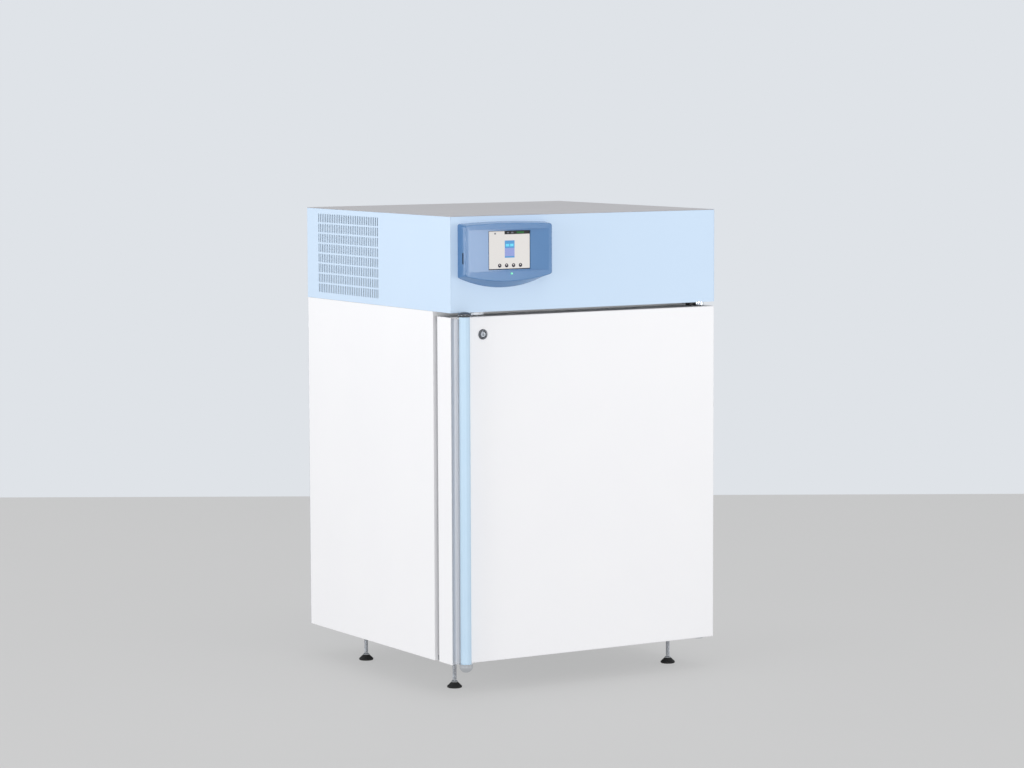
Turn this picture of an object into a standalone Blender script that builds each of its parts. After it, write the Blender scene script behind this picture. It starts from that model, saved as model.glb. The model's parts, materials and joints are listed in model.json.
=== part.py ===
"""Refrigerated incubator: a floor-standing cabinet with a side-hinged door under a machine head.

Metres, +Z up, the front faces -Y. The origin lies on the floor under the middle of the object's box.
Blender 4.5: blender --background --python part.py, or run it from the text editor.
"""

import math

import bmesh
import bpy
from mathutils import Vector

# Cabinet
WIDTH = 0.760
DEPTH = 0.728
DOOR_HEIGHT = 0.834
DOOR_LIFT = 0.001
HEAD_GAP = 0.011
HEAD_HEIGHT = 0.230
SHEET = 0.0012
SIDE_RETURN = 0.010
SWAGE = 0.003
SWAGE_MARGIN = 0.045
SWAGE_SLOPE = 0.006

# Clearance between fixed pieces that touch, and sides of turned pieces
FIT = 0.0003
ROUND_STEPS = 20
SMALL_STEPS = 14

# Chamber
CHAMBER_WIDTH = 0.540
CHAMBER_HEIGHT = 0.600
CHAMBER_DEPTH = 0.520
CHAMBER_FLOOR = 0.120
LINER_SHEET = 0.0008
LINER_CORNER = 0.012
FRAME_THICKNESS = 0.003
DUCT_DEPTH = 0.060
BAFFLE_GAP = 0.030

# Door
DOOR_THICKNESS = 0.065
DOOR_EDGE_RADIUS = 0.0025
INNER_PANEL_SHEET = 0.0015
PLUG_HEIGHT = 0.008
PLUG_MARGIN = 0.058
GASKET_GAP = 0.020
GASKET_WIDTH = 0.018
GASKET_ROOT = 0.004
GASKET_LIP = 0.005
GASKET_INSET = 0.012
GASKET_HINGE_INSET = 0.030

# Handle along the door's free edge
CHANNEL_WIDTH = 0.021
CHANNEL_DEPTH = 0.012
CHANNEL_DISH = 0.007
CHANNEL_TOP_STEP = 0.0035
CHANNEL_LAND = 0.0015
BAR_RADIUS = 0.013
BAR_FROM_EDGE = 0.026
BAR_STANDOFF = 0.020
CAP_RADIUS = 0.016
CAP_COLLAR = 0.008
CAP_CHAMFER = 0.001
CAP_DOME = 0.008
POST_RADIUS = 0.005
POST_FROM_END = 0.060

# Hinges
HINGE_FROM_EDGE = 0.027
HINGE_FROM_FRONT = 0.030
HINGE_ARM_WIDTH = 0.026
HINGE_ARM_CLEARANCE = 0.0015
LOWER_ARM_THICKNESS = 0.004
LOWER_ARM_UNDER_PAN = 0.060
HINGE_PIN_RADIUS = 0.0046
HINGE_PIN_LENGTH = 0.018
BUSH_BORE = 0.0050
BUSH_RADIUS = 0.0080
BUSH_LENGTH = 0.022
BUSH_COLLAR = 0.0009
BUSH_RIM = 0.0025
STOP_WIDTH = 0.014
STOP_DEPTH = 0.018
STOP_CHAMFER = 0.0008

# Door lock
LOCK_FROM_EDGE = 0.0885
LOCK_FROM_TOP = 0.0425
ESCUTCHEON_RADIUS = 0.0125
ESCUTCHEON_THICKNESS = 0.0018
ESCUTCHEON_CHAMFER = 0.0009
LOCK_BODY_RADIUS = 0.0100
LOCK_BODY_LENGTH = 0.026
LOCK_BORE = 0.0072
PLUG_RADIUS = 0.0067
KEY_SLOT_LENGTH = 0.0080
KEY_SLOT_WIDTH = 0.0018
KEY_SLOT_DEPTH = 0.012
CAM_THICKNESS = 0.003
CAM_WIDTH = 0.012
CAM_OVER_DOOR = 0.007
CAM_ROOM = 0.002
CAM_CORNER = 0.002
TAIL_RADIUS = 0.003
STRIKE_THICKNESS = 0.002
STRIKE_WIDTH = 0.034
STRIKE_GAP = 0.002
STRIKE_FOOT = 0.014
STRIKE_CLEARANCE = 0.0022

# Machine head
VENT_FROM_FRONT = 0.352
VENT_COLUMNS = 34
VENT_PITCH = 0.00935
VENT_SLOT = 0.0047
VENT_ROWS = 8
VENT_ROW_HEIGHT = 0.0200
VENT_ROW_GAP = 0.0054
VENT_FROM_TOP = 0.016
FLANGE = 0.012
LOUVRE_COUNT = 9
LOUVRE_LENGTH = 0.164
LOUVRE_RIB = 0.023
LOUVRE_WIDTH = 0.006
LOUVRE_PITCH = 0.016

# Control bezel
BEZEL_FROM_EDGE = 0.020
BEZEL_WIDTH = 0.249
BEZEL_FROM_TOP = 0.0185
BEZEL_SIDE_HEIGHT = 0.130
BEZEL_TOP_ARCH = 0.003
BEZEL_BOTTOM_ARCH = 0.0235
BEZEL_PROUD = 0.030
BEZEL_DRAFT = 0.004
BEZEL_CHIN = 0.013
BEZEL_CORNER = 0.006
BEZEL_WALL = 0.0025
BEZEL_FACE = 0.010
BEZEL_DISH_WIDTH = 0.205
BEZEL_DISH = 0.006
SCREEN_WIDTH = 0.116
SCREEN_HEIGHT = 0.092
SCREEN_FROM_TOP = 0.037
SCREEN_THICKNESS = 0.008
SCREEN_CHAMFER = 0.0005
SCREEN_SHIFT = 0.004
SCREEN_MARGIN = 0.004
CABLE_OPENING_INSET = 0.018
LAMP_RADIUS = 0.0025
LAMP_CROWN = 0.0006
LAMP_BELOW_SCREEN = 0.010
LAMP_SHIFT = 0.004
CARD_SLOT_LENGTH = 0.0245
CARD_SLOT_WIDTH = 0.0024
CARD_WALL = 0.0012
CARD_DEPTH = 0.028
CARD_FROM_FACE = 0.0095
CARD_FROM_TOP = 0.100

# Levelling feet
FOOT_HEIGHT = 0.076
FOOT_FROM_SIDE = 0.067
FRONT_FOOT_FROM_FRONT = 0.106
REAR_FOOT_FROM_BACK = 0.174
STUD_RADIUS = 0.0050
STUD_INSIDE = 0.012
NUT_RADIUS = 0.0090
NUT_HEIGHT = 0.008
NUT_SIDES = 6
PAD_RADIUS = 0.0182
PAD_HEIGHT = 0.0135
PAD_CHAMFER = 0.0018
PAD_EDGE = 0.0042
COLLAR_RADIUS = 0.0085
COLLAR_HEIGHT = 0.0045

# Shelves and their rails
RUNG_COUNT = 6
RUNG_PITCH = 0.085
FIRST_RUNG = 0.070
RUNG_SIZE = 0.008
RUNG_OVERHANG = 0.004
RAIL_SIZE = 0.006
RAIL_WIDTH = 0.014
RAIL_LENGTH = 0.360
RAIL_FROM_FRONT = 0.040
SHELF_WIRE = 0.0030
SHELF_ROD = 0.0035
SHELF_WIRES = 9
SHELF_PLAY = 0.003
SHELF_CORNER = 0.014
SHELF_RUNGS = (1, 3)

# Air system inside the chamber
IMPELLER_RADIUS = 0.070
IMPELLER_HUB = 0.014
IMPELLER_DEPTH = 0.018
IMPELLER_BLADES = 8
IMPELLER_BLADE = 0.002
IMPELLER_SWEEP = 52
IMPELLER_GAP = 0.002
IMPELLER_PLATE = 0.0015
FAN_FROM_TOP = 0.150
MOTOR_RADIUS = 0.035
MOTOR_LENGTH = 0.022
MOTOR_RIM = 0.006
MOTOR_FLANGE = 0.003
MOTOR_CHAMFER = 0.004
SHAFT_RADIUS = 0.0030
BORE_CLEARANCE = 0.0004
INLET_SLOTS = 12
INLET_INNER = 0.022
INLET_OUTER = 0.062
HEATER_RADIUS = 0.092
HEATER_TUBE = 0.0040
HEATER_FOOT = 0.006
EVAPORATOR_WIDTH = 0.400
EVAPORATOR_HEIGHT = 0.150
EVAPORATOR_DEPTH = 0.036
EVAPORATOR_FINS = 14
BAFFLE_SLOT_ROWS = 8
BAFFLE_SLOT_LENGTH = 0.040
BAFFLE_SLOT_WIDTH = 0.006
BAFFLE_SLOT_PITCH = 0.048
PROBE_RADIUS = 0.003
PROBE_LENGTH = 0.090
PROBE_COLLAR = 0.004
PROBE_TAIL = 0.020

# Cooling machine in the head
CONDENSER_LENGTH = 0.290
CONDENSER_HEIGHT = 0.185
CONDENSER_DEPTH = 0.036
CONDENSER_FINS = 18
CONDENSER_FROM_SIDE = 0.010
FIN_SHARE = 0.35
SHROUD_DEPTH = 0.022
SHROUD_OPENING = 0.082
COOLING_FAN_RADIUS = 0.078
COOLING_FAN_HUB = 0.020
COOLING_FAN_DEPTH = 0.016
COOLING_FAN_BLADES = 5
COOLING_FAN_GAP = 0.003
FAN_BLADE = 0.0018
FAN_BLADE_SWEEP = 44
COOLING_MOTOR_RADIUS = 0.026
COOLING_MOTOR_LENGTH = 0.034
SPIDER_WIDTH = 0.010
SPIDER_THICKNESS = 0.004
COMPRESSOR_RADIUS = 0.074
COMPRESSOR_HEIGHT = 0.165
COMPRESSOR_FROM_SIDE = 0.300
COMPRESSOR_FROM_BACK = 0.150
COMPRESSOR_PLATE = 0.005
COMPRESSOR_WELD = 0.003
CONTROL_BOX_WIDTH = 0.240
CONTROL_BOX_DEPTH = 0.300
CONTROL_BOX_HEIGHT = 0.090
CONTROL_BOX_FROM_SIDE = 0.040
CONTROL_BOX_FROM_FRONT = 0.070
CONTROL_BOX_LID = 0.016
CONTROL_BOX_WALL = 0.002
GLAND_RADIUS = 0.009
GLAND_LENGTH = 0.016

# Mains inlet with its rocker switch
INLET_FROM_SIDE = 0.110
INLET_FROM_TOP = 0.105
INLET_FLANGE_WIDTH = 0.034
INLET_FLANGE_HEIGHT = 0.060
INLET_FLANGE = 0.0024
INLET_BODY_WIDTH = 0.028
INLET_BODY_HEIGHT = 0.050
INLET_BODY_DEPTH = 0.026
SOCKET_WIDTH = 0.0240
SOCKET_HEIGHT = 0.0165
SOCKET_DEPTH = 0.016
SOCKET_CENTRE = -0.0125
BLADE_WIDTH = 0.0020
BLADE_HEIGHT = 0.0040
BLADE_LENGTH = 0.013
BLADE_SPACING = 0.0070
BLADE_OFFSET = 0.002
ROCKER_WIDTH = 0.0170
ROCKER_HEIGHT = 0.0180
ROCKER_CENTRE = 0.0150
ROCKER_TILT = 10.0
ROCKER_PROUD = 0.0016
ROCKER_AXIS_DEPTH = 0.006
ROCKER_PLAY = 0.0008
ROCKER_HOLLOW = 0.0008
ROCKER_ROOM = 0.014

# Places worked out from the sizes
LEFT = -WIDTH / 2
RIGHT = WIDTH / 2
FRONT_REACH = max(BAR_STANDOFF + max(CAP_RADIUS, BAR_RADIUS), BEZEL_PROUD)
REAR_REACH = INLET_FLANGE + ROCKER_PROUD
FRONT = (FRONT_REACH - REAR_REACH - DEPTH) / 2
BACK = FRONT + DEPTH
BASE = FOOT_HEIGHT
DOOR_BOTTOM = BASE + DOOR_LIFT
DOOR_TOP = DOOR_BOTTOM + DOOR_HEIGHT
DOOR_REAR = FRONT + DOOR_THICKNESS
HEAD_BOTTOM = DOOR_TOP + HEAD_GAP
TOP = HEAD_BOTTOM + HEAD_HEIGHT
FRAME_FRONT = DOOR_REAR + GASKET_GAP
LINER_FRONT = FRAME_FRONT + FRAME_THICKNESS + FIT
CHAMBER_BACK = LINER_FRONT + CHAMBER_DEPTH
CHAMBER_BOTTOM = BASE + CHAMBER_FLOOR
CHAMBER_TOP = CHAMBER_BOTTOM + CHAMBER_HEIGHT
BAFFLE_FACE = CHAMBER_BACK - DUCT_DEPTH
HINGE_X = RIGHT - HINGE_FROM_EDGE
HINGE_Y = FRONT + HINGE_FROM_FRONT
BAR_X = LEFT + BAR_FROM_EDGE
BAR_Y = FRONT - BAR_STANDOFF
LOCK_X = LEFT + LOCK_FROM_EDGE
LOCK_Z = DOOR_TOP - LOCK_FROM_TOP
CAM_Y = FRONT + LOCK_BODY_LENGTH + CAM_THICKNESS
CAM_LENGTH = LOCK_FROM_TOP + CAM_OVER_DOOR
FAN_Z = CHAMBER_TOP - FAN_FROM_TOP
HEAD_FLOOR = HEAD_BOTTOM + SHEET + FIT


def clear_scene():
    for obj in list(bpy.data.objects):
        bpy.data.objects.remove(obj, do_unlink=True)


def paint(name, colour, roughness, metallic=0.0):
    material = bpy.data.materials.new(name)
    material.use_nodes = True
    shader = material.node_tree.nodes["Principled BSDF"]
    shader.inputs["Base Color"].default_value = (*colour, 1.0)
    shader.inputs["Roughness"].default_value = roughness
    shader.inputs["Metallic"].default_value = metallic
    material.diffuse_color = (*colour, 1.0)
    return material


clear_scene()
WHITE_ENAMEL = paint("white_enamel", (0.88, 0.88, 0.90), 0.35)
BLUE_ENAMEL = paint("pale_blue_enamel", (0.58, 0.72, 0.90), 0.35)
GREY_ENAMEL = paint("grey_enamel", (0.50, 0.49, 0.50), 0.45)
ZINC = paint("zinc_coated_sheet", (0.55, 0.56, 0.58), 0.45, 0.9)
STAINLESS = paint("stainless_sheet", (0.62, 0.62, 0.63), 0.30, 1.0)
ALUMINIUM = paint("anodised_aluminium", (0.62, 0.64, 0.68), 0.32, 1.0)
CHROME = paint("chrome", (0.75, 0.76, 0.78), 0.10, 1.0)
BLUE_BAR = paint("pale_blue_bar", (0.50, 0.68, 0.86), 0.25)
BLUE_PLASTIC = paint("moulded_blue_plastic", (0.12, 0.28, 0.52), 0.38)
GREY_PLASTIC = paint("grey_plastic", (0.40, 0.41, 0.42), 0.50)
BLACK_PLASTIC = paint("black_plastic", (0.02, 0.02, 0.02), 0.45)
GASKET_RUBBER = paint("gasket_rubber", (0.36, 0.36, 0.37), 0.70)
PAD_RUBBER = paint("pad_rubber", (0.015, 0.015, 0.015), 0.75)
FOAM = paint("foam", (0.80, 0.70, 0.45), 0.90)
SCREEN_GLASS = paint("screen_glass", (0.70, 0.74, 0.80), 0.12)
LAMP_LENS = paint("lamp_lens", (0.10, 0.70, 0.55), 0.20)
BLACK_ENAMEL = paint("black_enamel", (0.03, 0.03, 0.035), 0.35)


# Making solids
def put(u, v, along, axis):
    """A point from two coordinates across an axis and one along it."""
    if axis == "X":
        return Vector((along, u, v))
    if axis == "Y":
        return Vector((u, along, v))
    return Vector((u, v, along))


def finish(name, bm, material, smooth=False):
    mesh = bpy.data.meshes.new(name)
    bm.to_mesh(mesh)
    bm.free()
    mesh.materials.append(material)
    if smooth:
        mesh.shade_smooth()
        mesh.set_sharp_from_angle(angle=math.radians(35))
    obj = bpy.data.objects.new(name, mesh)
    bpy.context.collection.objects.link(obj)
    return obj


def outward(bm):
    bmesh.ops.recalc_face_normals(bm, faces=bm.faces)
    return bm


def add_prism(bm, outline, low, high, axis):
    near = [bm.verts.new(put(u, v, low, axis)) for u, v in outline]
    far = [bm.verts.new(put(u, v, high, axis)) for u, v in outline]
    bm.faces.new(near)
    bm.faces.new(far)
    for i in range(len(outline)):
        j = (i + 1) % len(outline)
        bm.faces.new((near[i], near[j], far[j], far[i]))


def prism(name, outline, low, high, axis, material, smooth=False):
    bm = bmesh.new()
    add_prism(bm, outline, low, high, axis)
    return finish(name, outward(bm), material, smooth)


def add_box(bm, low, high):
    outline = [(low[0], low[1]), (high[0], low[1]), (high[0], high[1]), (low[0], high[1])]
    add_prism(bm, outline, low[2], high[2], "Z")


def box(name, low, high, material):
    bm = bmesh.new()
    add_box(bm, low, high)
    return finish(name, outward(bm), material)


def boxes(name, corner_pairs, material):
    """Several separate boxes in one mesh, for a cutter or a tool that is joined to a body."""
    bm = bmesh.new()
    for low, high in corner_pairs:
        add_box(bm, low, high)
    return finish(name, outward(bm), material)


def bevel(obj, width, segments=2):
    modifier = obj.modifiers.new("edge", "BEVEL")
    modifier.width = width
    modifier.segments = segments
    modifier.limit_method = "ANGLE"
    modifier.angle_limit = math.radians(50)
    return obj


def round_face_edges(bm, y, radius, segments):
    """Rounds the edges round the face that lies in the plane at y."""
    edges = [edge for edge in bm.edges if all(abs(vert.co.y - y) < 1e-6 for vert in edge.verts)]
    bmesh.ops.bevel(
        bm, geom=edges, offset=radius, segments=segments, profile=0.5, affect="EDGES", clamp_overlap=True)


def shell(name, outline, low, high, axis, open_side, thickness, material):
    """A folded sheet body: a prism without the faces that look towards open_side."""
    bm = bmesh.new()
    add_prism(bm, outline, low, high, axis)
    outward(bm)
    bm.normal_update()
    gone = [face for face in bm.faces if face.normal.dot(Vector(open_side)) > 0.99]
    bmesh.ops.delete(bm, geom=gone, context="FACES")
    obj = finish(name, bm, material)
    solidify(obj, thickness)
    return obj


def solidify(obj, thickness):
    modifier = obj.modifiers.new("sheet", "SOLIDIFY")
    modifier.thickness = thickness
    modifier.offset = -1
    modifier.use_even_offset = True


def rectangle(u0, u1, v0, v1):
    return [(u0, v0), (u1, v0), (u1, v1), (u0, v1)]


def arc(centre_u, centre_v, radius, start, end, steps):
    """Points of a round stretch, angles in degrees."""
    points = []
    for i in range(steps + 1):
        angle = math.radians(start + (end - start) * i / steps)
        points.append((centre_u + radius * math.cos(angle), centre_v + radius * math.sin(angle)))
    return points


def rounded_rectangle(u0, u1, v0, v1, radius, steps=3):
    outline = []
    outline += arc(u1 - radius, v1 - radius, radius, 0, 90, steps)
    outline += arc(u0 + radius, v1 - radius, radius, 90, 180, steps)
    outline += arc(u0 + radius, v0 + radius, radius, 180, 270, steps)
    outline += arc(u1 - radius, v0 + radius, radius, 270, 360, steps)
    return outline


def turned(name, profile, centre, axis, material, steps=ROUND_STEPS, hollow=False):
    """A turned piece. The profile is (radius, place along the axis) from one end to the other."""
    bm = bmesh.new()
    rings = []
    for radius, along in profile:
        if radius == 0:
            rings.append([bm.verts.new(put(centre[0], centre[1], along, axis))])
            continue
        outline = arc(centre[0], centre[1], radius, 0, 360, steps)[:-1]
        rings.append([bm.verts.new(put(u, v, along, axis)) for u, v in outline])
    pairs = list(zip(rings, rings[1:]))
    if hollow:
        pairs.append((rings[-1], rings[0]))
    for first, second in pairs:
        join_rings(bm, first, second)
    if not hollow:
        for ring in (rings[0], rings[-1]):
            if len(ring) > 1:
                bm.faces.new(ring)
    return finish(name, outward(bm), material, smooth=True)


def join_rings(bm, first, second):
    count = max(len(first), len(second))
    for i in range(count):
        j = (i + 1) % count
        if len(first) == 1:
            bm.faces.new((first[0], second[j], second[i]))
        elif len(second) == 1:
            bm.faces.new((first[i], first[j], second[0]))
        else:
            bm.faces.new((first[i], first[j], second[j], second[i]))


def rod(name, centre, radius, low, high, axis, material, steps=SMALL_STEPS):
    return turned(name, [(radius, low), (radius, high)], centre, axis, material, steps)


def loft(name, sections, material, smooth=True):
    """A closed body through outlines that have the same number of points."""
    bm = bmesh.new()
    rings = [[bm.verts.new(point) for point in section] for section in sections]
    for first, second in zip(rings, rings[1:]):
        join_rings(bm, first, second)
    bm.faces.new(rings[0])
    bm.faces.new(rings[-1])
    return finish(name, outward(bm), material, smooth)


def add_tube(bm, path, radius, sides, closed=False):
    """A round tube along a path, with a section that turns no more than the path makes it."""
    points = [Vector(point) for point in path]
    count = len(points)
    rings = []
    normal = None
    for i, point in enumerate(points):
        before = points[i - 1] if closed or i > 0 else point
        after = points[(i + 1) % count] if closed or i < count - 1 else point
        tangent = (after - before).normalized()
        if normal is None:
            guide = Vector((0, 0, 1)) if abs(tangent.z) < 0.9 else Vector((1, 0, 0))
            normal = tangent.cross(guide).cross(tangent).normalized()
        else:
            normal = (normal - tangent * normal.dot(tangent)).normalized()
        side = tangent.cross(normal)
        ring = []
        for k in range(sides):
            angle = 2 * math.pi * (k + 0.5) / sides
            ring.append(bm.verts.new(point + radius * (math.cos(angle) * normal + math.sin(angle) * side)))
        rings.append(ring)
    pairs = list(zip(rings, rings[1:]))
    if closed:
        pairs.append((rings[-1], rings[0]))
    for first, second in pairs:
        join_rings(bm, first, second)
    if not closed:
        bm.faces.new(rings[0])
        bm.faces.new(rings[-1])


def tubes(name, paths, radius, sides, material, closed=False):
    bm = bmesh.new()
    for path in paths:
        add_tube(bm, path, radius, sides, closed)
    return finish(name, outward(bm), material, smooth=sides > 4)


def mitred_ring(name, outer, inner, profile, material):
    """A frame with mitred corners. The profile is (share of the way from outer to inner, Y)."""
    bm = bmesh.new()
    loops = []
    for share, y in profile:
        loop = []
        for (u0, v0), (u1, v1) in zip(rectangle(*outer), rectangle(*inner)):
            loop.append(bm.verts.new((u0 + (u1 - u0) * share, y, v0 + (v1 - v0) * share)))
        loops.append(loop)
    for first, second in zip(loops, loops[1:] + loops[:1]):
        join_rings(bm, first, second)
    return finish(name, outward(bm), material)


def pressed_panel(name, outline, y, margin, slope, rise, thickness, material):
    """A sheet that looks towards +Y with a field pressed out of it by rise."""
    u0, u1, v0, v1 = outline
    bm = bmesh.new()
    sides = []
    for depth in (0.0, -thickness):
        loops = []
        for inset, out in ((0.0, 0.0), (margin, 0.0), (margin + slope, rise)):
            corners = rectangle(u0 + inset, u1 - inset, v0 + inset, v1 - inset)
            loops.append([bm.verts.new((u, y + out + depth, v)) for u, v in corners])
        for first, second in zip(loops, loops[1:]):
            join_rings(bm, first, second)
        bm.faces.new(loops[-1])
        sides.append(loops)
    join_rings(bm, sides[0][0], sides[1][0])
    return finish(name, outward(bm), material)


def combine(target, tool, operation="DIFFERENCE"):
    modifier = target.modifiers.new(tool.name, "BOOLEAN")
    modifier.operation = operation
    modifier.solver = "EXACT"
    modifier.object = tool
    tool.hide_render = True
    tool.display_type = "WIRE"
    return target


def carried_by(name, place, pieces):
    """An empty on the axis that these pieces turn about."""
    axis = bpy.data.objects.new(name, None)
    axis.location = place
    bpy.context.collection.objects.link(axis)
    bpy.context.view_layer.update()
    for piece in pieces:
        piece.parent = axis
        piece.matrix_parent_inverse = axis.matrix_world.inverted()


# Cabinet
def side_panel(name, side):
    """A tall sheet folded inwards along its front and rear edges."""
    rear = BACK - SHEET - FIT
    outer = side * WIDTH / 2
    inner = outer - side * SHEET
    lip = outer - side * SIDE_RETURN
    outline = [
        (outer, FRAME_FRONT), (outer, rear), (lip, rear), (lip, rear - SHEET), (inner, rear - SHEET),
        (inner, FRAME_FRONT + SHEET), (lip, FRAME_FRONT + SHEET), (lip, FRAME_FRONT),
    ]
    return prism(name, outline, BASE, HEAD_BOTTOM - FIT, "Z", WHITE_ENAMEL)


def rear_panel():
    outline = (LEFT, RIGHT, BASE, HEAD_BOTTOM - FIT)
    return pressed_panel("rear_panel", outline, BACK, SWAGE_MARGIN, SWAGE_SLOPE, -SWAGE, SHEET, ZINC)


def cabinet_inside():
    """The box that is left inside the outer sheets: low corner, high corner."""
    x = WIDTH / 2 - SHEET - FIT
    rear = BACK - 2 * SHEET - SWAGE - FIT
    return (-x, FRAME_FRONT + FRAME_THICKNESS + FIT, BASE), (x, rear, HEAD_BOTTOM - FIT)


def base_pan():
    low, high = cabinet_inside()
    pan_front = FRAME_FRONT + SHEET + FIT
    outline = rectangle(low[0], high[0], pan_front, high[1])
    pan = shell("base_pan", outline, BASE, BASE + FLANGE, "Z", (0, 0, 1), SHEET, ZINC)
    nut_top = BASE + NUT_HEIGHT
    for number, place in enumerate(foot_places()):
        nut = rod(f"weld_nut_{number}", place, NUT_RADIUS, BASE + SHEET / 2, nut_top, "Z", ZINC, NUT_SIDES)
        combine(pan, nut, "UNION")
        reach = STUD_RADIUS + BORE_CLEARANCE
        combine(pan, rod(f"foot_hole_{number}", place, reach, BASE - SHEET, nut_top + SHEET, "Z", ZINC))
    return pan


def breaker_frame():
    """The plastic frame round the chamber mouth, which the gasket seals on."""
    x = WIDTH / 2 - SIDE_RETURN - FIT
    outer = (-x, x, BASE + FLANGE + FIT, HEAD_BOTTOM - FIT)
    inner = (-CHAMBER_WIDTH / 2, CHAMBER_WIDTH / 2, CHAMBER_BOTTOM, CHAMBER_TOP)
    back = FRAME_FRONT + FRAME_THICKNESS
    profile = [(0, FRAME_FRONT), (1, FRAME_FRONT), (1, back), (0, back)]
    return mitred_ring("breaker_frame", outer, inner, profile, GREY_PLASTIC)


def cabinet_insulation():
    low, high = cabinet_inside()
    skirt = SHEET + FIT
    block = box(
        "cabinet_insulation",
        (low[0] + skirt, low[1], low[2] + skirt),
        (high[0] - skirt, high[1] - skirt, high[2]),
        FOAM,
    )
    wall = LINER_SHEET + FIT
    x = CHAMBER_WIDTH / 2 + wall
    room = box(
        "insulation_room",
        (-x, low[1] - FIT, CHAMBER_BOTTOM - wall),
        (x, CHAMBER_BACK + wall, CHAMBER_TOP + wall),
        FOAM,
    )
    combine(block, room)
    for number, (x, y) in enumerate(foot_places()):
        reach = NUT_RADIUS + FIT
        pocket_top = BASE + STUD_INSIDE + SHEET + FIT
        pocket = rod(f"nut_pocket_{number}", (x, y), reach, BASE - SHEET, pocket_top, "Z", FOAM)
        combine(block, pocket)
    return block


def chamber_liner():
    x = CHAMBER_WIDTH / 2 + LINER_SHEET
    bottom = CHAMBER_BOTTOM - LINER_SHEET
    top = CHAMBER_TOP + LINER_SHEET
    outline = rounded_rectangle(-x, x, bottom, top, LINER_CORNER)
    back = CHAMBER_BACK + LINER_SHEET
    return shell("chamber_liner", outline, LINER_FRONT, back, "Y", (0, -1, 0), LINER_SHEET, STAINLESS)


# Air system inside the chamber
def air_baffle():
    """The folded rear panel that hides the coil and the fan, with air slots and a fan inlet."""
    x = CHAMBER_WIDTH / 2 - FIT
    bottom = CHAMBER_BOTTOM + BAFFLE_GAP
    top = CHAMBER_TOP - BAFFLE_GAP
    rear = CHAMBER_BACK - FIT
    wall = LINER_SHEET
    outline = [
        (-x, BAFFLE_FACE), (x, BAFFLE_FACE), (x, rear), (x - wall, rear), (x - wall, BAFFLE_FACE + wall),
        (wall - x, BAFFLE_FACE + wall), (wall - x, rear), (-x, rear),
    ]
    baffle = prism("air_baffle", outline, bottom, top, "Z", STAINLESS)
    cuts = bmesh.new()
    front = BAFFLE_FACE - wall
    back = BAFFLE_FACE + 2 * wall
    middle = (bottom + top) / 2
    for row in range(BAFFLE_SLOT_ROWS):
        z = middle + (row - (BAFFLE_SLOT_ROWS - 1) / 2) * BAFFLE_SLOT_PITCH
        for side in (-1, 1):
            slot_middle = side * (CHAMBER_WIDTH / 2 - BAFFLE_SLOT_LENGTH)
            low = (slot_middle - BAFFLE_SLOT_LENGTH / 2, front, z - BAFFLE_SLOT_WIDTH / 2)
            high = (slot_middle + BAFFLE_SLOT_LENGTH / 2, back, z + BAFFLE_SLOT_WIDTH / 2)
            add_box(cuts, low, high)
    for step in range(INLET_SLOTS):
        add_prism(cuts, inlet_slot(2 * math.pi * step / INLET_SLOTS), front, back, "Y")
    combine(baffle, finish("baffle_slots", outward(cuts), STAINLESS))
    probe_hole = rod(
        "probe_hole", probe_place(), PROBE_RADIUS + FIT, front, back, "Y", STAINLESS, steps=8)
    combine(baffle, probe_hole)
    return baffle


def inlet_slot(angle):
    """A radial air slot of the fan inlet, which widens outwards."""
    outline = []
    for radius, side in ((INLET_INNER, -1), (INLET_OUTER, -1), (INLET_OUTER, 1), (INLET_INNER, 1)):
        half = side * radius * math.pi * 0.5 / INLET_SLOTS
        u = radius * math.cos(angle) - half * math.sin(angle)
        v = radius * math.sin(angle) + half * math.cos(angle)
        outline.append((u, FAN_Z + v))
    return outline


def circulation_motor():
    rear = CHAMBER_BACK - FIT
    front = rear - MOTOR_LENGTH
    tip = front - IMPELLER_DEPTH
    rim = MOTOR_RADIUS + MOTOR_RIM
    seat = rear - MOTOR_FLANGE
    profile = [
        (rim, rear), (rim, seat), (MOTOR_RADIUS, seat), (MOTOR_RADIUS, front + MOTOR_CHAMFER),
        (MOTOR_RADIUS - MOTOR_CHAMFER, front), (SHAFT_RADIUS, front), (SHAFT_RADIUS, tip),
    ]
    return turned("circulation_motor", profile, (0, FAN_Z), "Y", BLACK_ENAMEL, SMALL_STEPS)


def circulation_impeller():
    """A centrifugal wheel: a hub with a back plate and backward-curved blades."""
    rear = CHAMBER_BACK - FIT - MOTOR_LENGTH - IMPELLER_GAP
    front = rear - IMPELLER_DEPTH
    bore = SHAFT_RADIUS + BORE_CLEARANCE
    plate = rear - IMPELLER_PLATE
    profile = [
        (bore, rear), (IMPELLER_RADIUS, rear), (IMPELLER_RADIUS, plate), (IMPELLER_HUB, plate),
        (IMPELLER_HUB, front), (bore, front),
    ]
    wheel = turned("circulation_impeller", profile, (0, FAN_Z), "Y", ALUMINIUM, ROUND_STEPS, hollow=True)
    blades = bmesh.new()
    for step in range(IMPELLER_BLADES):
        outline = curved_blade(2 * math.pi * step / IMPELLER_BLADES)
        add_prism(blades, outline, front + IMPELLER_PLATE / 2, plate + IMPELLER_PLATE / 2, "Y")
    return combine(wheel, finish("impeller_blades", outward(blades), ALUMINIUM), "UNION")


def curved_blade(angle):
    """The outline of a blade that leans back as it goes out."""
    stations = 3
    root = IMPELLER_HUB * 1.6
    tip = IMPELLER_RADIUS - IMPELLER_BLADE
    near, far = [], []
    for i in range(stations + 1):
        share = i / stations
        radius = root + (tip - root) * share
        sweep = angle - math.radians(IMPELLER_SWEEP) * share
        for points, offset in ((near, 0.0), (far, IMPELLER_BLADE / radius)):
            u = radius * math.cos(sweep + offset)
            v = radius * math.sin(sweep + offset)
            points.append((u, FAN_Z + v))
    return near + far[::-1]


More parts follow.
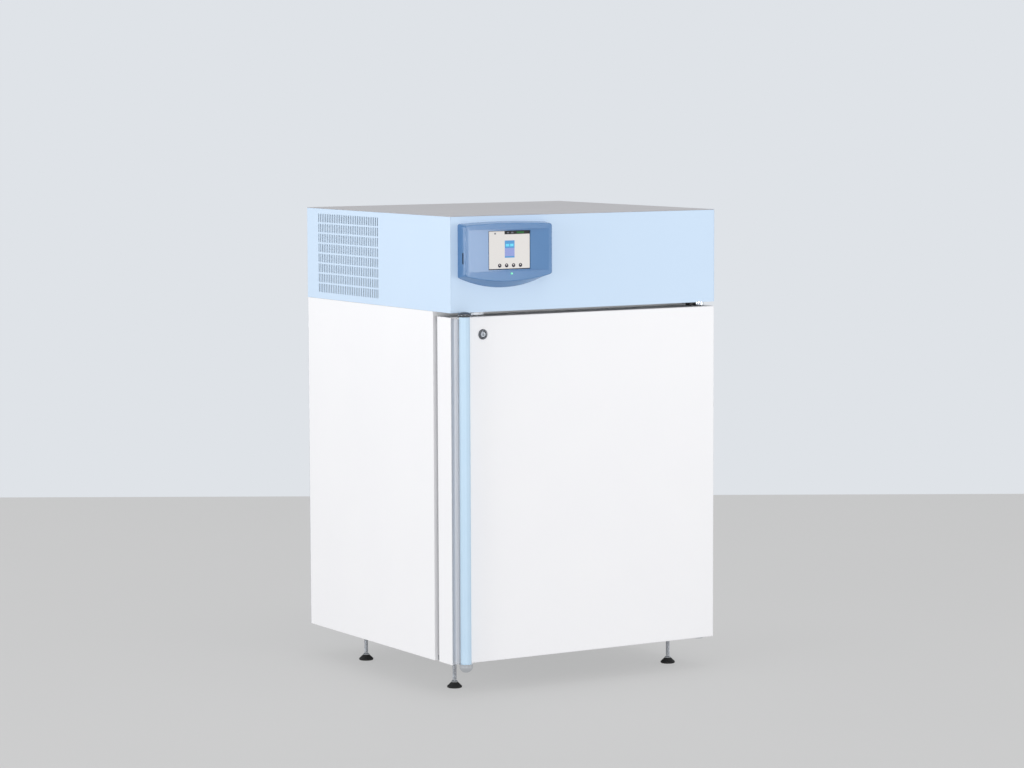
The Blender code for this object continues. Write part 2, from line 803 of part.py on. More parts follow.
def heater_element():
    """A ring of tube round the impeller, on three feet that stand on the liner's rear wall."""
    y = CHAMBER_BACK - MOTOR_LENGTH - IMPELLER_DEPTH / 2
    path = [(u, y, v) for u, v in arc(0, FAN_Z, HEATER_RADIUS, 0, 360, ROUND_STEPS)[:-1]]
    ring = tubes("heater_element", [path], HEATER_TUBE, 6, STAINLESS, closed=True)
    feet = []
    for angle in (90, 210, 330):
        u = HEATER_RADIUS * math.cos(math.radians(angle))
        v = FAN_Z + HEATER_RADIUS * math.sin(math.radians(angle))
        low = (u - HEATER_FOOT / 2, y, v - HEATER_FOOT / 2)
        high = (u + HEATER_FOOT / 2, CHAMBER_BACK - FIT, v + HEATER_FOOT / 2)
        feet.append((low, high))
    return combine(ring, boxes("heater_feet", feet, STAINLESS), "UNION")


def fin_block(name, low, high, fins, comb_axis, material):
    """A coil block: a core plate with fins standing out of it."""
    if comb_axis == "X":
        spine, tip = high[0], low[0]
        start, end = low[1], high[1]
    else:
        spine, tip = high[1], low[1]
        start, end = low[0], high[0]
    core = spine + (tip - spine) * FIN_SHARE
    pitch = (end - start) / (fins - 0.5)
    outline = [(spine, start)]
    for fin in range(fins):
        begin = start + fin * pitch
        outline += [(core, begin), (tip, begin), (tip, begin + pitch / 2), (core, begin + pitch / 2)]
    outline[1:2] = []
    outline[-1:] = [(spine, end)]
    if comb_axis == "Y":
        outline = [(v, u) for u, v in outline]
    return prism(name, outline, low[2], high[2], "Z", material)


def evaporator():
    rear = CHAMBER_BACK - (DUCT_DEPTH - EVAPORATOR_DEPTH) / 2
    low = (-EVAPORATOR_WIDTH / 2, rear - EVAPORATOR_DEPTH, CHAMBER_BOTTOM + FIT)
    high = (EVAPORATOR_WIDTH / 2, rear, CHAMBER_BOTTOM + FIT + EVAPORATOR_HEIGHT)
    return fin_block("evaporator", low, high, EVAPORATOR_FINS, "Y", ALUMINIUM)


def probe_place():
    return CHAMBER_WIDTH * 0.30, CHAMBER_TOP - BAFFLE_GAP * 2.5


def temperature_probe():
    """A thin rod through the baffle, held by its collar."""
    seat = BAFFLE_FACE - FIT
    collar = seat - PROBE_COLLAR
    tip = seat - PROBE_LENGTH
    profile = [
        (PROBE_RADIUS, BAFFLE_FACE + PROBE_TAIL), (PROBE_RADIUS, seat), (PROBE_RADIUS * 2, seat),
        (PROBE_RADIUS * 2, collar), (PROBE_RADIUS, collar), (PROBE_RADIUS, tip),
        (PROBE_RADIUS * 0.4, tip - PROBE_RADIUS),
    ]
    return turned("temperature_probe", profile, probe_place(), "Y", STAINLESS, 8)


# Shelves
def shelf_rail(name, side):
    """Two uprights on the chamber wall with rungs that carry the shelves."""
    wall = side * (CHAMBER_WIDTH / 2 - FIT)
    front = LINER_FRONT + RAIL_FROM_FRONT
    rear = front + RAIL_LENGTH
    bottom = CHAMBER_BOTTOM + LINER_CORNER
    top = CHAMBER_TOP - LINER_CORNER
    inner = wall - side * RAIL_SIZE
    x0, x1 = sorted((wall, inner))
    rail = box(name, (x0, front, bottom), (x1, front + RAIL_WIDTH, top), STAINLESS)
    second = box(name + "_rear", (x0, rear - RAIL_WIDTH, bottom), (x1, rear, top), STAINLESS)
    rung_inner = inner - side * RUNG_SIZE
    r0, r1 = sorted((wall - side * RAIL_SIZE / 2, rung_inner))
    rungs = []
    for number in range(RUNG_COUNT):
        z = rung_top(number)
        rungs.append(((r0, front - RUNG_OVERHANG, z - RUNG_SIZE), (r1, rear + RUNG_OVERHANG, z)))
    combine(rail, boxes(name + "_rungs", rungs, STAINLESS), "UNION")
    return combine(rail, second, "UNION")


def rung_top(number):
    return CHAMBER_BOTTOM + FIRST_RUNG + number * RUNG_PITCH


def wire_shelf(name, rung):
    """A rod frame with wires across it, which lies on a pair of rungs."""
    x = CHAMBER_WIDTH / 2 - RAIL_SIZE - SHELF_PLAY
    z = rung_top(rung) + FIT + SHELF_ROD
    front = LINER_FRONT + RAIL_FROM_FRONT + SHELF_PLAY
    rear = front + RAIL_LENGTH - 2 * SHELF_PLAY
    corners = rounded_rectangle(-x, x, front, rear, SHELF_CORNER, 2)
    frame = tubes(name, [[(u, v, z) for u, v in corners]], SHELF_ROD, 6, STAINLESS, closed=True)
    wires = []
    lift = SHELF_ROD * 0.6
    for number in range(SHELF_WIRES):
        u = (number + 1) / (SHELF_WIRES + 1) * 2 * x - x
        wires.append([(u, front, z + lift), (u, rear, z + lift)])
    combine(frame, tubes(name + "_wires", wires, SHELF_WIRE * 0.7, 4, STAINLESS), "UNION")
    middle = (front + rear) / 2
    brace = tubes(name + "_brace", [[(-x, middle, z), (x, middle, z)]], SHELF_WIRE, 6, STAINLESS)
    return combine(frame, brace, "UNION")


# Door
def door_outline(inset, rear):
    """The door in plan, with a step at its free edge for the handle channel."""
    step_x = LEFT + CHANNEL_WIDTH
    step_y = FRONT + CHANNEL_DEPTH
    return [
        (step_x + inset, FRONT + inset), (RIGHT - inset, FRONT + inset), (RIGHT - inset, rear),
        (LEFT + inset, rear), (LEFT + inset, step_y + inset), (step_x + inset, step_y + inset),
    ]


def door_cuts(target, margin):
    """Openings for the lock, its cam and the two hinge bushes. Margin widens the round ones."""
    lock_hole = rod(
        target.name + "_lock_hole", (LOCK_X, LOCK_Z), LOCK_BODY_RADIUS + margin,
        FRONT - SHEET, FRONT + LOCK_BODY_LENGTH + 2 * FIT, "Y", FOAM)
    combine(target, lock_hole)
    room = CAM_ROOM
    half = CAM_WIDTH / 2 + room
    if target.name == "door_shell":
        reach = math.sqrt(CAM_LENGTH ** 2 - (LOCK_FROM_TOP - SHEET) ** 2)
        low = (LOCK_X - half, CAM_Y - room, DOOR_TOP - 2 * SHEET)
        high = (LOCK_X + reach + half, CAM_Y + CAM_THICKNESS + room, DOOR_TOP + SHEET)
    else:
        low = (LOCK_X - half - room, CAM_Y - 2 * room, LOCK_Z - half - room)
        high = (LOCK_X + CAM_LENGTH + 2 * room, CAM_Y + CAM_THICKNESS + 2 * room, DOOR_TOP + SHEET)
    combine(target, box(target.name + "_cam_room", low, high, FOAM))
    for end, low, high in (
        ("upper", DOOR_TOP - BUSH_LENGTH - FIT, DOOR_TOP + SHEET),
        ("lower", DOOR_BOTTOM - SHEET, DOOR_BOTTOM + BUSH_LENGTH + FIT),
    ):
        hole = rod(
            f"{target.name}_{end}_bush_hole", (HINGE_X, HINGE_Y), BUSH_RADIUS + margin, low, high, "Z", FOAM)
        combine(target, hole)


def door_shell():
    rear = DOOR_REAR - INNER_PANEL_SHEET - FIT
    outline = door_outline(0.0, rear)
    bm = bmesh.new()
    add_prism(bm, outline, DOOR_BOTTOM, DOOR_TOP, "Z")
    outward(bm)
    round_face_edges(bm, FRONT, DOOR_EDGE_RADIUS, 2)
    bm.normal_update()
    gone = [face for face in bm.faces if face.normal.y > 0.99 and face.calc_center_median().y > rear - FIT]
    bmesh.ops.delete(bm, geom=gone, context="FACES")
    door = finish("door_shell", bm, WHITE_ENAMEL)
    solidify(door, SHEET)
    lip_rear = FRONT + CHANNEL_DEPTH + SHEET / 2
    lip = box("door_side_lip", (LEFT, FRONT, DOOR_BOTTOM), (LEFT + SHEET, lip_rear, DOOR_TOP), WHITE_ENAMEL)
    combine(door, lip, "UNION")
    door_cuts(door, FIT)
    return door


def door_insulation():
    inset = SHEET + FIT
    rear = DOOR_REAR - INNER_PANEL_SHEET - FIT
    bottom = DOOR_BOTTOM + inset
    top = DOOR_TOP - inset
    bm = bmesh.new()
    add_prism(bm, door_outline(inset, rear), bottom, top, "Z")
    outward(bm)
    round_face_edges(bm, FRONT + inset, DOOR_EDGE_RADIUS, 1)
    block = finish("door_insulation", bm, FOAM)
    door_cuts(block, FIT)
    return block


def door_inner_panel():
    outline = (LEFT, RIGHT, DOOR_BOTTOM, DOOR_TOP)
    return pressed_panel(
        "door_inner_panel", outline, DOOR_REAR, PLUG_MARGIN, PLUG_HEIGHT, PLUG_HEIGHT,
        INNER_PANEL_SHEET, STAINLESS)


def door_gasket():
    """A bellows seal: a narrow root on the door, a waist and a wide magnet lip on the cabinet side."""
    outer = (
        LEFT + GASKET_INSET, RIGHT - GASKET_HINGE_INSET,
        DOOR_BOTTOM + GASKET_INSET, DOOR_TOP - GASKET_INSET,
    )
    inner = (
        outer[0] + GASKET_WIDTH, outer[1] - GASKET_WIDTH,
        outer[2] + GASKET_WIDTH, outer[3] - GASKET_WIDTH,
    )
    root = DOOR_REAR + FIT
    lip = FRAME_FRONT - FIT
    waist = (root + lip) / 2
    foot = root + GASKET_ROOT
    shoulder = lip - GASKET_LIP
    profile = [
        (0.15, root), (0.85, root), (0.85, foot), (0.70, waist), (1.0, shoulder), (1.0, lip),
        (0.0, lip), (0.0, shoulder), (0.30, waist), (0.15, foot),
    ]
    return mitred_ring("door_gasket", outer, inner, profile, GASKET_RUBBER)


# Handle
def handle_channel():
    """The extruded edge profile with the hollow for the fingers, inside the door's side sheet."""
    x0 = LEFT + SHEET + FIT
    x1 = LEFT + CHANNEL_WIDTH - FIT
    rear = FRONT + CHANNEL_DEPTH - FIT
    land = CHANNEL_LAND
    outline = [(x1, rear), (x0, rear), (x0, FRONT + land)]
    chord = x1 - x0 - 2 * land
    radius = (chord ** 2 / 4 + CHANNEL_DISH ** 2) / (2 * CHANNEL_DISH)
    half = math.degrees(math.asin(chord / 2 / radius))
    middle = (x0 + x1) / 2
    centre = FRONT + CHANNEL_DISH - radius
    outline += [(x0 + land * 0.4, FRONT + land * 0.3)]
    outline += [(u, v) for u, v in arc(middle, centre, radius, 90 + half, 90 - half, 8)]
    outline += [(x1, FRONT)]
    top = DOOR_TOP - CHANNEL_TOP_STEP
    return prism("handle_channel", outline, DOOR_BOTTOM, top, "Z", ALUMINIUM, smooth=True)


def handle_bar():
    """A round bar as long as the door, on two posts that are fixed to the door's front."""
    low = DOOR_BOTTOM + FIT
    high = DOOR_TOP - FIT
    bar = rod("handle_bar", (BAR_X, BAR_Y), BAR_RADIUS, low, high, "Z", BLUE_BAR, ROUND_STEPS)
    posts = bmesh.new()
    for z in (DOOR_BOTTOM + POST_FROM_END, (DOOR_BOTTOM + DOOR_TOP) / 2, DOOR_TOP - POST_FROM_END):
        outline = arc(BAR_X, z, POST_RADIUS, 0, 360, 12)[:-1]
        add_prism(posts, outline, BAR_Y, FRONT - FIT, "Y")
    return combine(bar, finish("handle_posts", outward(posts), BLUE_BAR), "UNION")


def handle_cap(name, end, out):
    """A domed end cap. End is the bar's end and out is +1 for the top, -1 for the bottom."""
    low = end + out * FIT
    start = low + out * CAP_CHAMFER
    profile = [(BAR_RADIUS, low), (CAP_RADIUS, start), (CAP_RADIUS, low + out * CAP_COLLAR)]
    for step in range(1, 4):
        angle = math.radians(90 * step / 4)
        radius = CAP_RADIUS * math.cos(angle)
        profile.append((radius, low + out * (CAP_COLLAR + CAP_DOME * math.sin(angle))))
    profile.append((0, low + out * (CAP_COLLAR + CAP_DOME)))
    return turned(name, profile, (BAR_X, BAR_Y), "Z", CHROME, ROUND_STEPS)


# Hinges
def hinge_arm_outline(width, rear):
    """An arm in plan: square at the cabinet, round about the pin."""
    half = width / 2
    outline = [(HINGE_X + half, rear), (HINGE_X - half, rear)]
    outline += arc(HINGE_X, HINGE_Y, half, 180, 360, 10)
    return outline


def hinge_bracket_upper():
    low = DOOR_TOP + HINGE_ARM_CLEARANCE
    high = HEAD_BOTTOM - FIT
    rear = FRAME_FRONT - FIT
    arm = prism("hinge_bracket_upper", hinge_arm_outline(HINGE_ARM_WIDTH, rear), low, high, "Z", CHROME)
    pin = rod(
        "upper_pin", (HINGE_X, HINGE_Y), HINGE_PIN_RADIUS, DOOR_TOP - HINGE_PIN_LENGTH,
        (low + high) / 2, "Z", CHROME)
    return combine(arm, pin, "UNION")


def hinge_bracket_lower():
    high = BASE - FIT
    low = high - LOWER_ARM_THICKNESS
    rear = FRAME_FRONT + LOWER_ARM_UNDER_PAN
    arm = prism("hinge_bracket_lower", hinge_arm_outline(HINGE_ARM_WIDTH, rear), low, high, "Z", CHROME)
    pin = rod(
        "lower_pin", (HINGE_X, HINGE_Y), HINGE_PIN_RADIUS, (low + high) / 2,
        DOOR_BOTTOM + HINGE_PIN_LENGTH, "Z", CHROME)
    return combine(arm, pin, "UNION")


def hinge_bush_upper():
    """A sleeve in the door that turns on the hinge pin, with a thin thrust collar over the door."""
    low = DOOR_TOP - BUSH_LENGTH
    seat = DOOR_TOP + FIT
    top = seat + BUSH_COLLAR
    rim = BUSH_RADIUS + BUSH_RIM
    profile = [
        (BUSH_BORE, low), (BUSH_RADIUS, low), (BUSH_RADIUS, seat), (rim, seat), (rim, top), (BUSH_BORE, top),
    ]
    return turned("hinge_bush_upper", profile, (HINGE_X, HINGE_Y), "Z", BLACK_PLASTIC, hollow=True)


def hinge_bush_lower():
    """A plain sleeve that carries the door on the lower arm."""
    high = DOOR_BOTTOM + BUSH_LENGTH
    profile = [(BUSH_BORE, BASE), (BUSH_RADIUS, BASE), (BUSH_RADIUS, high), (BUSH_BORE, high)]
    return turned("hinge_bush_lower", profile, (HINGE_X, HINGE_Y), "Z", BLACK_PLASTIC, hollow=True)


def door_stop_block():
    """The buffer that hangs under the head beside the upper hinge."""
    high = HEAD_BOTTOM - FIT
    low = DOOR_TOP + HINGE_ARM_CLEARANCE
    right = HINGE_X - HINGE_ARM_WIDTH / 2 - FIT
    block = box(
        "door_stop_block",
        (right - STOP_WIDTH, HINGE_Y, low),
        (right, HINGE_Y + STOP_DEPTH, high),
        BLACK_PLASTIC,
    )
    return bevel(block, STOP_CHAMFER, 1)


# Door lock
def lock_housing():
    front = FRONT - FIT
    face = front - ESCUTCHEON_THICKNESS
    rear = FRONT + LOCK_BODY_LENGTH
    profile = [
        (LOCK_BORE, rear), (LOCK_BODY_RADIUS, rear), (LOCK_BODY_RADIUS, front), (ESCUTCHEON_RADIUS, front),
        (ESCUTCHEON_RADIUS, face + ESCUTCHEON_CHAMFER), (ESCUTCHEON_RADIUS - ESCUTCHEON_CHAMFER, face),
        (LOCK_BORE, face),
    ]
    return turned("lock_housing", profile, (LOCK_X, LOCK_Z), "Y", CHROME, ROUND_STEPS, hollow=True)


def lock_cylinder():
    """The plug that the key turns, with a square tail that drives the cam."""
    front = FRONT - ESCUTCHEON_THICKNESS
    shoulder = CAM_Y - FIT
    tail = CAM_Y + 2 * CAM_THICKNESS
    profile = [
        (PLUG_RADIUS, front), (PLUG_RADIUS, shoulder), (TAIL_RADIUS, shoulder), (TAIL_RADIUS, tail),
    ]
    plug = turned("lock_cylinder", profile, (LOCK_X, LOCK_Z), "Y", CHROME, SMALL_STEPS)
    slot = box(
        "key_slot",
        (LOCK_X - KEY_SLOT_WIDTH / 2, front - SHEET, LOCK_Z - KEY_SLOT_LENGTH / 2),
        (LOCK_X + KEY_SLOT_WIDTH / 2, front + KEY_SLOT_DEPTH, LOCK_Z + KEY_SLOT_LENGTH / 2),
        CHROME,
    )
    return combine(plug, slot)


def lock_cam():
    """A flat cam on the plug's tail. At rest it lies sideways, unlocked."""
    half = CAM_WIDTH / 2
    end = LOCK_X + CAM_LENGTH
    blunt = end - CAM_CORNER
    tall = half - CAM_CORNER
    rear = CAM_Y + CAM_THICKNESS
    outline = arc(LOCK_X, LOCK_Z, half, 90, 270, 8)
    outline += [(blunt, LOCK_Z - half), (end, LOCK_Z - tall), (end, LOCK_Z + tall), (blunt, LOCK_Z + half)]
    cam = prism("lock_cam", outline, CAM_Y, rear, "Y", ZINC)
    reach = TAIL_RADIUS + FIT
    hole = rod("cam_hole", (LOCK_X, LOCK_Z), reach, CAM_Y - SHEET, rear + SHEET, "Y", ZINC)
    return combine(cam, hole)


def lock_strike():
    """An angle under the head. Its lip hangs in front of the raised cam."""
    lip_rear = CAM_Y - STRIKE_GAP
    lip_front = lip_rear - STRIKE_THICKNESS
    high = HEAD_BOTTOM - FIT
    low = DOOR_TOP + STRIKE_CLEARANCE
    seat = high - STRIKE_THICKNESS
    end = lip_front - STRIKE_FOOT
    x0 = LOCK_X - STRIKE_WIDTH / 2
    outline = [
        (lip_rear, high), (lip_rear, low), (lip_front, low), (lip_front, seat), (end, seat), (end, high),
    ]
    return prism("lock_strike", outline, x0, x0 + STRIKE_WIDTH, "X", ZINC)


# Machine head
def head_side_right():
    low = (RIGHT - SHEET, FRONT, HEAD_BOTTOM)
    high = (RIGHT, BACK, TOP - SHEET - FIT)
    return box("head_panel_right", low, high, BLUE_ENAMEL)


def head_side_left():
    """The left panel with its rows of fine vertical slots, laid out as strips between the rows."""
    bottom = HEAD_BOTTOM
    top = TOP - SHEET - FIT
    slots = []
    for column in range(VENT_COLUMNS):
        start = FRONT + VENT_FROM_FRONT + column * VENT_PITCH
        slots.append((start, start + VENT_SLOT))
    rows = []
    for row in range(VENT_ROWS):
        row_top = TOP - VENT_FROM_TOP - row * (VENT_ROW_HEIGHT + VENT_ROW_GAP)
        rows.insert(0, (row_top - VENT_ROW_HEIGHT, row_top))
    bm = bmesh.new()
    corners = {}

    def corner(y, z):
        key = (y, z)
        if key not in corners:
            corners[key] = bm.verts.new((LEFT, y, z))
        return corners[key]

    plain = [FRONT, BACK]
    cut = [FRONT] + [edge for slot in slots for edge in slot] + [BACK]
    levels = [bottom] + [level for row in rows for level in row] + [top]
    for lower, upper in zip(levels[::2], levels[1::2]):
        low_edge = plain if lower == bottom else cut
        high_edge = plain if upper == top else cut
        strip = [corner(y, lower) for y in low_edge] + [corner(y, upper) for y in reversed(high_edge)]
        bm.faces.new(strip)
    for lower, upper in rows:
        for start, end in zip(cut[::2], cut[1::2]):
            bar = [corner(start, lower), corner(end, lower), corner(end, upper), corner(start, upper)]
            bm.faces.new(bar)
    grown = bmesh.ops.extrude_face_region(bm, geom=bm.faces[:])
    moved = [item for item in grown["geom"] if isinstance(item, bmesh.types.BMVert)]
    bmesh.ops.translate(bm, verts=moved, vec=(SHEET, 0, 0))
    return finish("head_panel_left", outward(bm), BLUE_ENAMEL)


def head_front():
    x = WIDTH / 2 - SHEET - FIT
    high = TOP - SHEET - FIT
    panel = box("head_panel_front", (-x, FRONT, HEAD_BOTTOM), (x, FRONT + SHEET, high), BLUE_ENAMEL)
    x0, x1, z0, z1 = screen_rectangle(-CABLE_OPENING_INSET)
    opening = box("cable_opening", (x0, FRONT - SHEET, z0), (x1, FRONT + 2 * SHEET, z1), BLUE_ENAMEL)
    return combine(panel, opening)


def head_rear():
    """The rear panel with air louvres and the cut-out for the mains inlet."""
    x = WIDTH / 2 - SHEET - FIT
    rear = box("head_panel_rear", (-x, BACK - SHEET, HEAD_BOTTOM), (x, BACK, TOP - SHEET - FIT), ZINC)
    slots = []
    middle = LEFT + COMPRESSOR_FROM_SIDE
    centre = (HEAD_BOTTOM + TOP) / 2
    for number in range(LOUVRE_COUNT):
        z = centre + (number - (LOUVRE_COUNT - 1) / 2) * LOUVRE_PITCH
        for side in (-1, 1):
            u = middle + side * (LOUVRE_LENGTH + LOUVRE_RIB) / 2
            low = (u - LOUVRE_LENGTH / 2, BACK - 2 * SHEET, z - LOUVRE_WIDTH / 2)
            high = (u + LOUVRE_LENGTH / 2, BACK + SHEET, z + LOUVRE_WIDTH / 2)
            slots.append((low, high))
    inlet_x, inlet_z = inlet_place()
    half = INLET_BODY_WIDTH / 2 + FIT
    tall = INLET_BODY_HEIGHT / 2 + FIT
    slots.append((
        (inlet_x - half, BACK - 2 * SHEET, inlet_z - tall), (inlet_x + half, BACK + SHEET, inlet_z + tall)))
    return combine(rear, boxes("rear_cuts", slots, ZINC))


def head_floor():
    x = WIDTH / 2 - SHEET - FIT
    outline = rectangle(-x, x, FRONT + SHEET + FIT, BACK - SHEET - FIT)
    return shell("head_floor", outline, HEAD_BOTTOM, HEAD_BOTTOM + FLANGE, "Z", (0, 0, 1), SHEET, ZINC)


def head_top():
    """The lid: a flat sheet with a lip folded down inside the panels."""
    lid = box("head_panel_top", (LEFT, FRONT, TOP - SHEET), (RIGHT, BACK, TOP), GREY_ENAMEL)
    gap = SHEET + FIT
    outer = (LEFT + gap, RIGHT - gap, FRONT + gap, BACK - gap)
    lip = box_ring("lid_lip", outer, SHEET, TOP - FLANGE, TOP - SHEET / 2)
    return combine(lid, lip, "UNION")


def box_ring(name, outer, wall, low, high):
    """A low wall that follows a rectangle."""
    bm = bmesh.new()
    inner = (outer[0] + wall, outer[1] - wall, outer[2] + wall, outer[3] - wall)
    loops = []
    for corners, z in ((outer, low), (outer, high), (inner, high), (inner, low)):
        loops.append([bm.verts.new((u, v, z)) for u, v in rectangle(*corners)])
    for first, second in zip(loops, loops[1:] + loops[:1]):
        join_rings(bm, first, second)
    return finish(name, outward(bm), GREY_ENAMEL)


# Control bezel
def bezel_middle():
    return LEFT + BEZEL_FROM_EDGE + BEZEL_WIDTH / 2


def bezel_outline(inset, chin):
    """The bezel seen from the front: arched top, straight sides and a deep arc below."""
    x0 = LEFT + BEZEL_FROM_EDGE + inset
    x1 = LEFT + BEZEL_FROM_EDGE + BEZEL_WIDTH - inset
    top = TOP - BEZEL_FROM_TOP - inset
    bottom = TOP - BEZEL_FROM_TOP - BEZEL_SIDE_HEIGHT + inset * 0.5 + chin * 0.3
    corner = BEZEL_CORNER
    outline = arc_between(x0 + corner, x1 - corner, top, BEZEL_TOP_ARCH, 8)
    outline += arc(x1 - corner, top - corner, corner, 60, 0, 2)
    outline += arc(x1 - corner, bottom + corner, corner, 0, -45, 2)
    depth = BEZEL_BOTTOM_ARCH - chin
    outline += arc_between(x1 - corner * 1.3, x0 + corner * 1.3, bottom - corner / 6, -depth, 12)
    outline += arc(x0 + corner, bottom + corner, corner, 225, 180, 2)
    outline += arc(x0 + corner, top - corner, corner, 180, 120, 2)
    return outline


def arc_between(u0, u1, v, rise, steps):
    """A circular arc over a chord, as points (u, v)."""
    chord = abs(u1 - u0)
    radius = (chord ** 2 / 4 + rise ** 2) / (2 * abs(rise))
    middle = (u0 + u1) / 2
    points = []
    for i in range(steps + 1):
        u = u0 + (u1 - u0) * i / steps
        height = math.sqrt(radius ** 2 - (u - middle) ** 2) - (radius - abs(rise))
        points.append((u, v + math.copysign(height, rise)))
    return points


def bezel_section(inset, chin, y):
    return [Vector((u, y, v)) for u, v in bezel_outline(inset, chin)]


def control_bezel():
    """A moulded hood: lofted outside, hollow from behind, dished across the screen."""
    foot = FRONT - FIT
    face = FRONT - BEZEL_PROUD
    sections = [
        bezel_section(0.0, 0.0, foot),
        bezel_section(BEZEL_DRAFT * 0.4, BEZEL_CHIN * 0.45, foot + (face - foot) * 0.50),
        bezel_section(BEZEL_DRAFT * 0.75, BEZEL_CHIN * 0.85, foot + (face - foot) * 0.92),
        bezel_section(BEZEL_DRAFT, BEZEL_CHIN, face),
    ]
    bezel = loft("control_bezel", sections, BLUE_PLASTIC)
    wall = BEZEL_WALL
    hollow = loft("bezel_hollow", [
        bezel_section(wall, wall * 0.3, foot + SHEET),
        bezel_section(wall + BEZEL_DRAFT * 0.8, BEZEL_CHIN * 0.8, face + BEZEL_FACE),
    ], BLUE_PLASTIC)
    combine(bezel, hollow)
    combine(bezel, bezel_dish())
    x0, x1, z0, z1 = screen_rectangle(FIT)
    before = face - SHEET
    combine(bezel, box("screen_opening", (x0, before, z0), (x1, foot, z1), BLUE_PLASTIC))
    combine(bezel, rod("lamp_hole", lamp_place(), LAMP_RADIUS + FIT, before, foot, "Y", BLUE_PLASTIC, 12))
    low, high = card_block()
    low = (LEFT, low[1] - FIT, low[2] - FIT)
    high = tuple(place + FIT for place in high)
    combine(bezel, box("card_opening", low, high, BLUE_PLASTIC))
    return bezel


def bezel_dish():
    """The lens-shaped cut that hollows the middle band between two creases."""
    face = FRONT - BEZEL_PROUD
    middle = bezel_middle() + SCREEN_SHIFT
    x0 = middle - BEZEL_DISH_WIDTH / 2
    x1 = middle + BEZEL_DISH_WIDTH / 2
    curve = arc_between(x0, x1, face, BEZEL_DISH, 12)
    outline = curve + [(x1, face - BEZEL_DISH), (x0, face - BEZEL_DISH)]
    _, _, z0, z1 = screen_rectangle(SCREEN_MARGIN)
    return prism("bezel_dish", outline, z0, z1, "Z", BLUE_PLASTIC)


def screen_rectangle(margin):
    middle = bezel_middle() + SCREEN_SHIFT
    top = TOP - SCREEN_FROM_TOP
    return (
        middle - SCREEN_WIDTH / 2 - margin, middle + SCREEN_WIDTH / 2 + margin,
        top - SCREEN_HEIGHT - margin, top + margin,
    )


def touch_screen():
    x0, x1, z0, z1 = screen_rectangle(0.0)
    front = FRONT - BEZEL_PROUD + BEZEL_DISH
    screen = box("touch_screen", (x0, front, z0), (x1, front + SCREEN_THICKNESS, z1), SCREEN_GLASS)
    return bevel(screen, SCREEN_CHAMFER, 1)


def lamp_place():
    x = bezel_middle() + SCREEN_SHIFT + LAMP_SHIFT
    return x, TOP - SCREEN_FROM_TOP - SCREEN_HEIGHT - LAMP_BELOW_SCREEN


def status_lamp():
    face = FRONT - BEZEL_PROUD
    profile = [
        (LAMP_RADIUS, face + BEZEL_FACE * 0.8), (LAMP_RADIUS, face), (LAMP_RADIUS * 0.6, face - LAMP_CROWN),
    ]
    return turned("status_lamp", profile, lamp_place(), "Y", LAMP_LENS, 12)


def card_block():
    """The card reader's housing, which shows in the bezel's left wall."""
    y = FRONT - BEZEL_PROUD + CARD_FROM_FACE
    z = TOP - CARD_FROM_TOP
    half = CARD_SLOT_WIDTH / 2 + CARD_WALL
    tall = CARD_SLOT_LENGTH / 2 + CARD_WALL
    x = LEFT + BEZEL_FROM_EDGE + BEZEL_DRAFT * 0.6
    return (x, y - half, z - tall), (x + CARD_DEPTH, y + half, z + tall)


def card_slot():
    low, high = card_block()
    block = box("card_slot", low, high, BLACK_PLASTIC)
    wall = CARD_WALL
    room = box(
        "card_room",
        (low[0] - wall, low[1] + wall, low[2] + wall),
        (high[0] - 2 * wall, high[1] - wall, high[2] - wall),
        BLACK_PLASTIC,
    )
    return combine(block, room)


# Cooling machine
def condenser_middle():
    return FRONT + VENT_FROM_FRONT + VENT_COLUMNS * VENT_PITCH / 2


def condenser():
    x = LEFT + CONDENSER_FROM_SIDE
    y = condenser_middle()
    low = (x, y - CONDENSER_LENGTH / 2, HEAD_FLOOR)
    high = (x + CONDENSER_DEPTH, y + CONDENSER_LENGTH / 2, HEAD_FLOOR + CONDENSER_HEIGHT)
    return fin_block("condenser", low, high, CONDENSER_FINS, "X", ALUMINIUM)


def shroud_place():
    """The plane where the shroud starts and the middle of its opening."""
    x = LEFT + CONDENSER_FROM_SIDE + CONDENSER_DEPTH + FIT
    return x, condenser_middle(), HEAD_FLOOR + CONDENSER_HEIGHT / 2


def condenser_fan_shroud():
    """A frame with a round opening, and a spider behind it that carries the fan's motor."""
    x, y, z = shroud_place()
    frame = box(
        "condenser_fan_shroud",
        (x, y - CONDENSER_LENGTH / 2, HEAD_FLOOR),
        (x + SHROUD_DEPTH, y + CONDENSER_LENGTH / 2, HEAD_FLOOR + CONDENSER_HEIGHT),
        BLACK_PLASTIC,
    )
    face = x + SHROUD_DEPTH
    opening = rod(
        "shroud_opening", (y, z), SHROUD_OPENING, x - SHEET, face + SHEET, "X", BLACK_PLASTIC, ROUND_STEPS)
    combine(frame, opening)
    reach = SHROUD_OPENING + SPIDER_WIDTH / 2
    half = SPIDER_WIDTH / 2
    arm = ((face - SPIDER_THICKNESS / 2, y - reach, z - half), (face + SPIDER_THICKNESS, y + reach, z + half))
    combine(frame, boxes("spider", [arm], BLACK_PLASTIC), "UNION")
    start = face + SPIDER_THICKNESS / 4
    end = start + COOLING_MOTOR_LENGTH
    profile = [
        (SHAFT_RADIUS, x + COOLING_FAN_GAP / 2), (SHAFT_RADIUS, start), (COOLING_MOTOR_RADIUS, start),
        (COOLING_MOTOR_RADIUS, end - MOTOR_CHAMFER), (COOLING_MOTOR_RADIUS - MOTOR_CHAMFER, end),
    ]
    motor = turned("cooling_motor", profile, (y, z), "X", BLACK_PLASTIC, SMALL_STEPS)
    return combine(frame, motor, "UNION")


